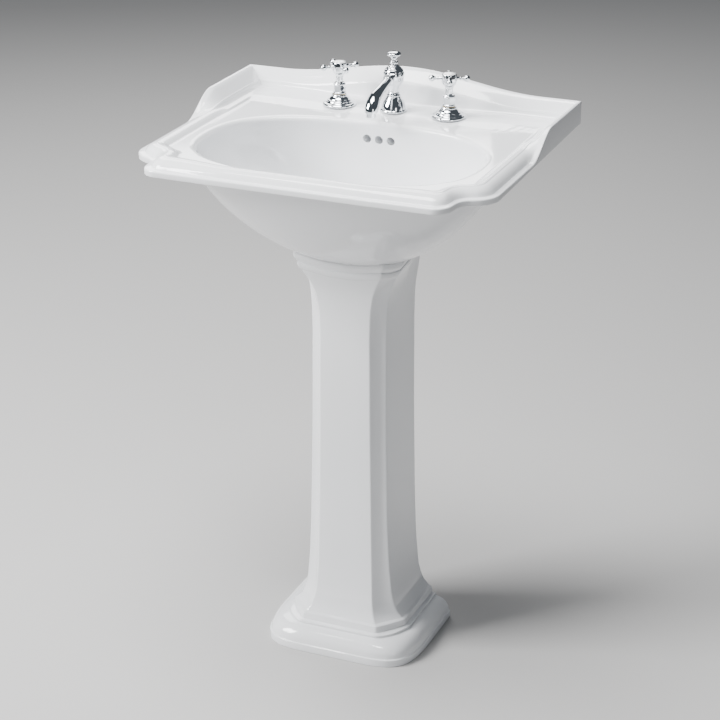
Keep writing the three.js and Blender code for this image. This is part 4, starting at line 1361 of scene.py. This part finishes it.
@dataclass
class Trap:
    """The bottle trap with its nuts, its cup and the pipe to the wall."""

    place: Place
    trees: Trees
    outlet: float = -345.0

    def ribbed(
        self, name: str, profile: Sequence[Knot], rib: tuple[float, float, float], at: Matrix, node: str
    ) -> None:
        """A turned piece with grip ribs round it.

        Args:
            name: the object's name.
            profile: its closed section.
            rib: radius the ribs stand on, and the heights they run between.
            at: its axis.
            node: the CAD node it stands for.
        """
        made = shape(name, lathe(contour(profile)[:-1], 72), at)
        radius, bottom, top = rib
        plan = [(radius - 0.9, -0.9), (radius + 0.35, -0.45), (radius + 0.35, 0.45), (radius - 0.9, 0.9)]
        bar = [[(x, y, z) for x, y in plan] for z in (bottom, top)]
        ribs = self.trees.around("ribs", skin(bar, Ends.FAN), 36, 0.0, BRIGHT_CHROME, at)
        combine(made, [ribs], Joining.ADD)
        dress(made, BRIGHT_CHROME, node, math.radians(30))

    def build(self) -> None:
        """Makes the trap and its outlet."""
        at = self.place.waste()
        back = at @ Matrix.Translation((0, 0, self.outlet)) @ Matrix.Rotation(-math.pi / 2, 4, "X")
        body = contour([
            (16.0, -310.0, 0.0), (20.0, -310.0, 0.3), (20.0, -328.0, 0.8), (24.6, -329.4, None),
            (27.0, -333.4, None), (27.0, -336.0, None), (27.0, -374.0, 0.2), (25.0, -374.0, 0.0),
            (25.0, -333.0, 0.0), (13.0, -333.0, 0.0), (13.0, -405.0, 0.0), (11.0, -405.0, 0.0),
            (11.0, -322.0, 0.0), (16.0, -322.0, 0.0), (16.0, -310.0, 0.0),
        ])
        made = shape("trap_bottle_head", lathe(body[:-1], 72), at)
        stub = shape("stub", lathe([(13.5, 25.2), (16.0, 25.2), (16.0, 62.0), (13.5, 62.0)], 64), back)
        combine(made, [stub], Joining.ADD)
        hole = [(0.0, 20.0), (13.5, 20.0), (13.5, 66.0), (0.0, 66.0)]
        combine(made, [shape("hole", lathe(hole, 64), back)], Joining.TAKE)
        dress(made, BRIGHT_CHROME, "trap_body")
        cup = (
            (0.0, -440.0, 0.0), (16.0, -440.0, None), (21.6, -437.6, None), (25.0, -431.0, None),
            (25.0, -386.3, 0.3), (28.0, -386.3, 0.5), (28.0, -374.3, 0.4), (23.0, -374.3, 0.0),
            (23.0, -430.0, 3.0), (17.0, -438.0, 2.0), (0.0, -438.0, 0.0),
        )
        cup_object = shape("trap_screw_cup", lathe(contour(cup), 72), at)
        plan = [(26.6, -0.9), (28.0, -0.45), (28.0, 0.45), (26.6, 0.9)]
        bar = [[(x, y, z) for x, y in plan] for z in (-385.6, -375.4)]
        bars = self.trees.around("cup_ribs", skin(bar, Ends.FAN), 40, 0.0, BRIGHT_CHROME, at)
        combine(cup_object, [bars], Joining.ADD)
        dress(cup_object, BRIGHT_CHROME, "trap_cup", math.radians(30))
        nut = (
            (20.8, -324.0, 0.0), (24.0, -324.0, 0.4), (24.0, -308.0, 0.6), (22.0, -306.0, 0.6),
            (22.0, -305.0, 0.2), (16.8, -305.0, 0.0), (16.8, -309.0, 0.0), (20.8, -309.0, 0.0),
            (20.8, -324.0, 0.0),
        )
        self.ribbed("trap_inlet_grip_nut", nut, (24.0, -323.0, -309.6), at, "trap_inlet_nut")
        wall_end = self.place.wall - self.place.waste_y - 25
        pipe = contour([
            (14.5, 62.3, 0.0), (16.0, 62.3, 0.2), (16.0, wall_end, 0.0), (14.5, wall_end, 0.0),
            (14.5, 62.3, 0.0),
        ])
        dress(shape("waste_pipe", lathe(pipe[:-1], 72), back), BRIGHT_CHROME, "outlet_pipe")
        ring = (
            (16.8, 52.0, 0.0), (20.0, 52.0, 0.5), (21.1, 53.4, 0.4), (21.1, 70.6, 0.5), (19.6, 72.0, 0.4),
            (16.8, 72.0, 0.0), (16.8, 52.0, 0.0),
        )
        self.ribbed("outlet_grip_nut", ring, (21.1, 54.2, 69.8), back, "outlet_nut")


@dataclass
class Supplies:
    """The copper tails that run down into the pedestal and the tubes that feed the spout."""

    place: Place
    trees: Trees
    radius: float = 6.0
    link_height: float = -52.0

    def build(self) -> None:
        """Makes a tail and a link tube for each tap."""
        for name in ("hot", "cold"):
            at = self.place.tap(f"{name}_handle_turn")
            tap_x = at.translation.x
            inward = -math.copysign(1, tap_x)
            inside = inward * (abs(tap_x) - 38)
            path = flow(
                [
                    (0, 0, -75), (0, 0, -100), (0.15 * inside, 0, -140), (0.7 * inside, -14, -215),
                    (inside, -60, -285), (inside, -92, -335), (inside, -92, -470),
                ],
                10,
            )
            tail = self.trees.bent(f"{name}_copper_tail", path, self.radius, DRAWN_COPPER, at)
            dress(tail, DRAWN_COPPER, f"{name}_tail")
            low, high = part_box(f"{name}_link_tube")
            height = self.place.deck + self.link_height
            y = at.translation.y
            ends = [(low.x / MM, y, height), (high.x / MM, y, height)]
            link = self.trees.bent(
                f"{name}_copper_link", ends, self.radius, DRAWN_COPPER, Matrix.Identity(4)
            )
            dress(link, DRAWN_COPPER, f"{name}_link_tube")


def dress_frame_nodes() -> None:
    """Gives every CAD node that stays in view the finish of its slot."""
    for part in frame["record"]["subparts"]:
        node = frame["nodes"][part["node"]]
        if node.hide_render:
            continue
        for holder in node.material_slots:
            holder.material = FINISHES[part["material_slot"]].material()
        LOG.info("%s keeps its CAD shape, %s", part["node"], part["material_slot"])


# ---- Studio ---------------------------------------------------------------------------------------
@dataclass
class Softbox:
    """A rectangular studio light that looks at a point."""

    name: str
    spot: tuple[float, float, float]
    target: tuple[float, float, float]
    size: tuple[float, float]
    power: float
    colour: tuple[float, float, float] = (1.0, 1.0, 1.0)

    def build(self) -> None:
        """Makes the light."""
        lamp = bpy.data.lights.new(self.name, "AREA")
        lamp.shape = "RECTANGLE"
        lamp.size, lamp.size_y = self.size
        lamp.energy = self.power
        lamp.color = self.colour
        made = bpy.data.objects.new(self.name, lamp)
        made.location = self.spot
        made.rotation_euler = (Vector(self.target) - Vector(self.spot)).to_track_quat("-Z", "Y").to_euler()
        bpy.context.scene.collection.objects.link(made)


@dataclass
class Studio:
    """A pale floor, an even surround, soft lights and the camera."""

    floor_colour: tuple[float, float, float] = (0.47, 0.465, 0.46)
    surround: tuple[float, float, float] = (0.075, 0.085, 0.097)
    surround_strength: float = 1.0
    eye: tuple[float, float, float] = (1.2477, -2.9467, 1.8746)
    tilt: float = math.pi / 2 - 0.40178
    heading: float = 0.39695
    lens: float = 104.692

    def floor(self) -> None:
        """A large plain floor."""
        reach = 30.0
        mesh = bpy.data.meshes.new("studio_floor")
        corners = [(-reach, -reach, 0), (reach, -reach, 0), (reach, reach, 0), (-reach, reach, 0)]
        mesh.from_pydata(corners, [], [(0, 1, 2, 3)])
        made = bpy.data.objects.new("studio_floor", mesh)
        bpy.context.scene.collection.objects.link(made)
        paint = bpy.data.materials.new("pale_floor")
        paint.use_nodes = True
        shader = paint.node_tree.nodes["Principled BSDF"]
        shader.inputs["Base Color"].default_value = (*self.floor_colour, 1.0)
        shader.inputs["Roughness"].default_value = 0.8
        mesh.materials.append(paint)

    def build(self) -> None:
        """Makes the floor, the surround, the lights and the camera."""
        self.floor()
        world = bpy.data.worlds.new("surround")
        world.use_nodes = True
        sky = world.node_tree.nodes["Background"]
        sky.inputs["Color"].default_value = (*self.surround, 1.0)
        sky.inputs["Strength"].default_value = self.surround_strength
        bpy.context.scene.world = world
        middle = (0.0, 0.0, 0.7)
        for lamp in (
            Softbox("key", (-2.6, -1.7, 2.7), middle, (1.6, 1.6), 330.0),
            Softbox("top", (-0.3, -0.4, 3.4), (0.0, 0.0, 0.9), (1.6, 1.3), 140.0),
            Softbox("fill", (2.6, -2.6, 1.5), middle, (0.8, 1.6), 14.0),
            Softbox("rear", (-1.6, 2.8, 2.6), middle, (1.8, 1.4), 50.0),
        ):
            lamp.build()
        lens = bpy.data.cameras.new("camera")
        lens.lens = self.lens
        lens.sensor_width = 36.0
        camera = bpy.data.objects.new("camera", lens)
        camera.location = self.eye
        camera.rotation_euler = (self.tilt, 0.0, self.heading)
        bpy.context.scene.collection.objects.link(camera)
        bpy.context.scene.camera = camera


def main() -> None:
    """Builds the sink piece by piece, then the studio."""
    logging.basicConfig(level=logging.INFO, format="%(name)s: %(message)s")
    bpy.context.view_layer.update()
    Studio().build()
    place = Place()
    trees = Trees()
    basin = Basin(place)
    basin.build()
    Pedestal(place, basin).build()
    CrossTap(place, trees, "hot", "hot_handle_turn", 45.0).build()
    CrossTap(place, trees, "cold", "cold_handle_turn", 21.0).build()
    Spout(place).build()
    Waste(place, trees).build()
    Trap(place, trees).build()
    Supplies(place, trees).build()
    dress_frame_nodes()


if __name__ == "__main__":
    main()
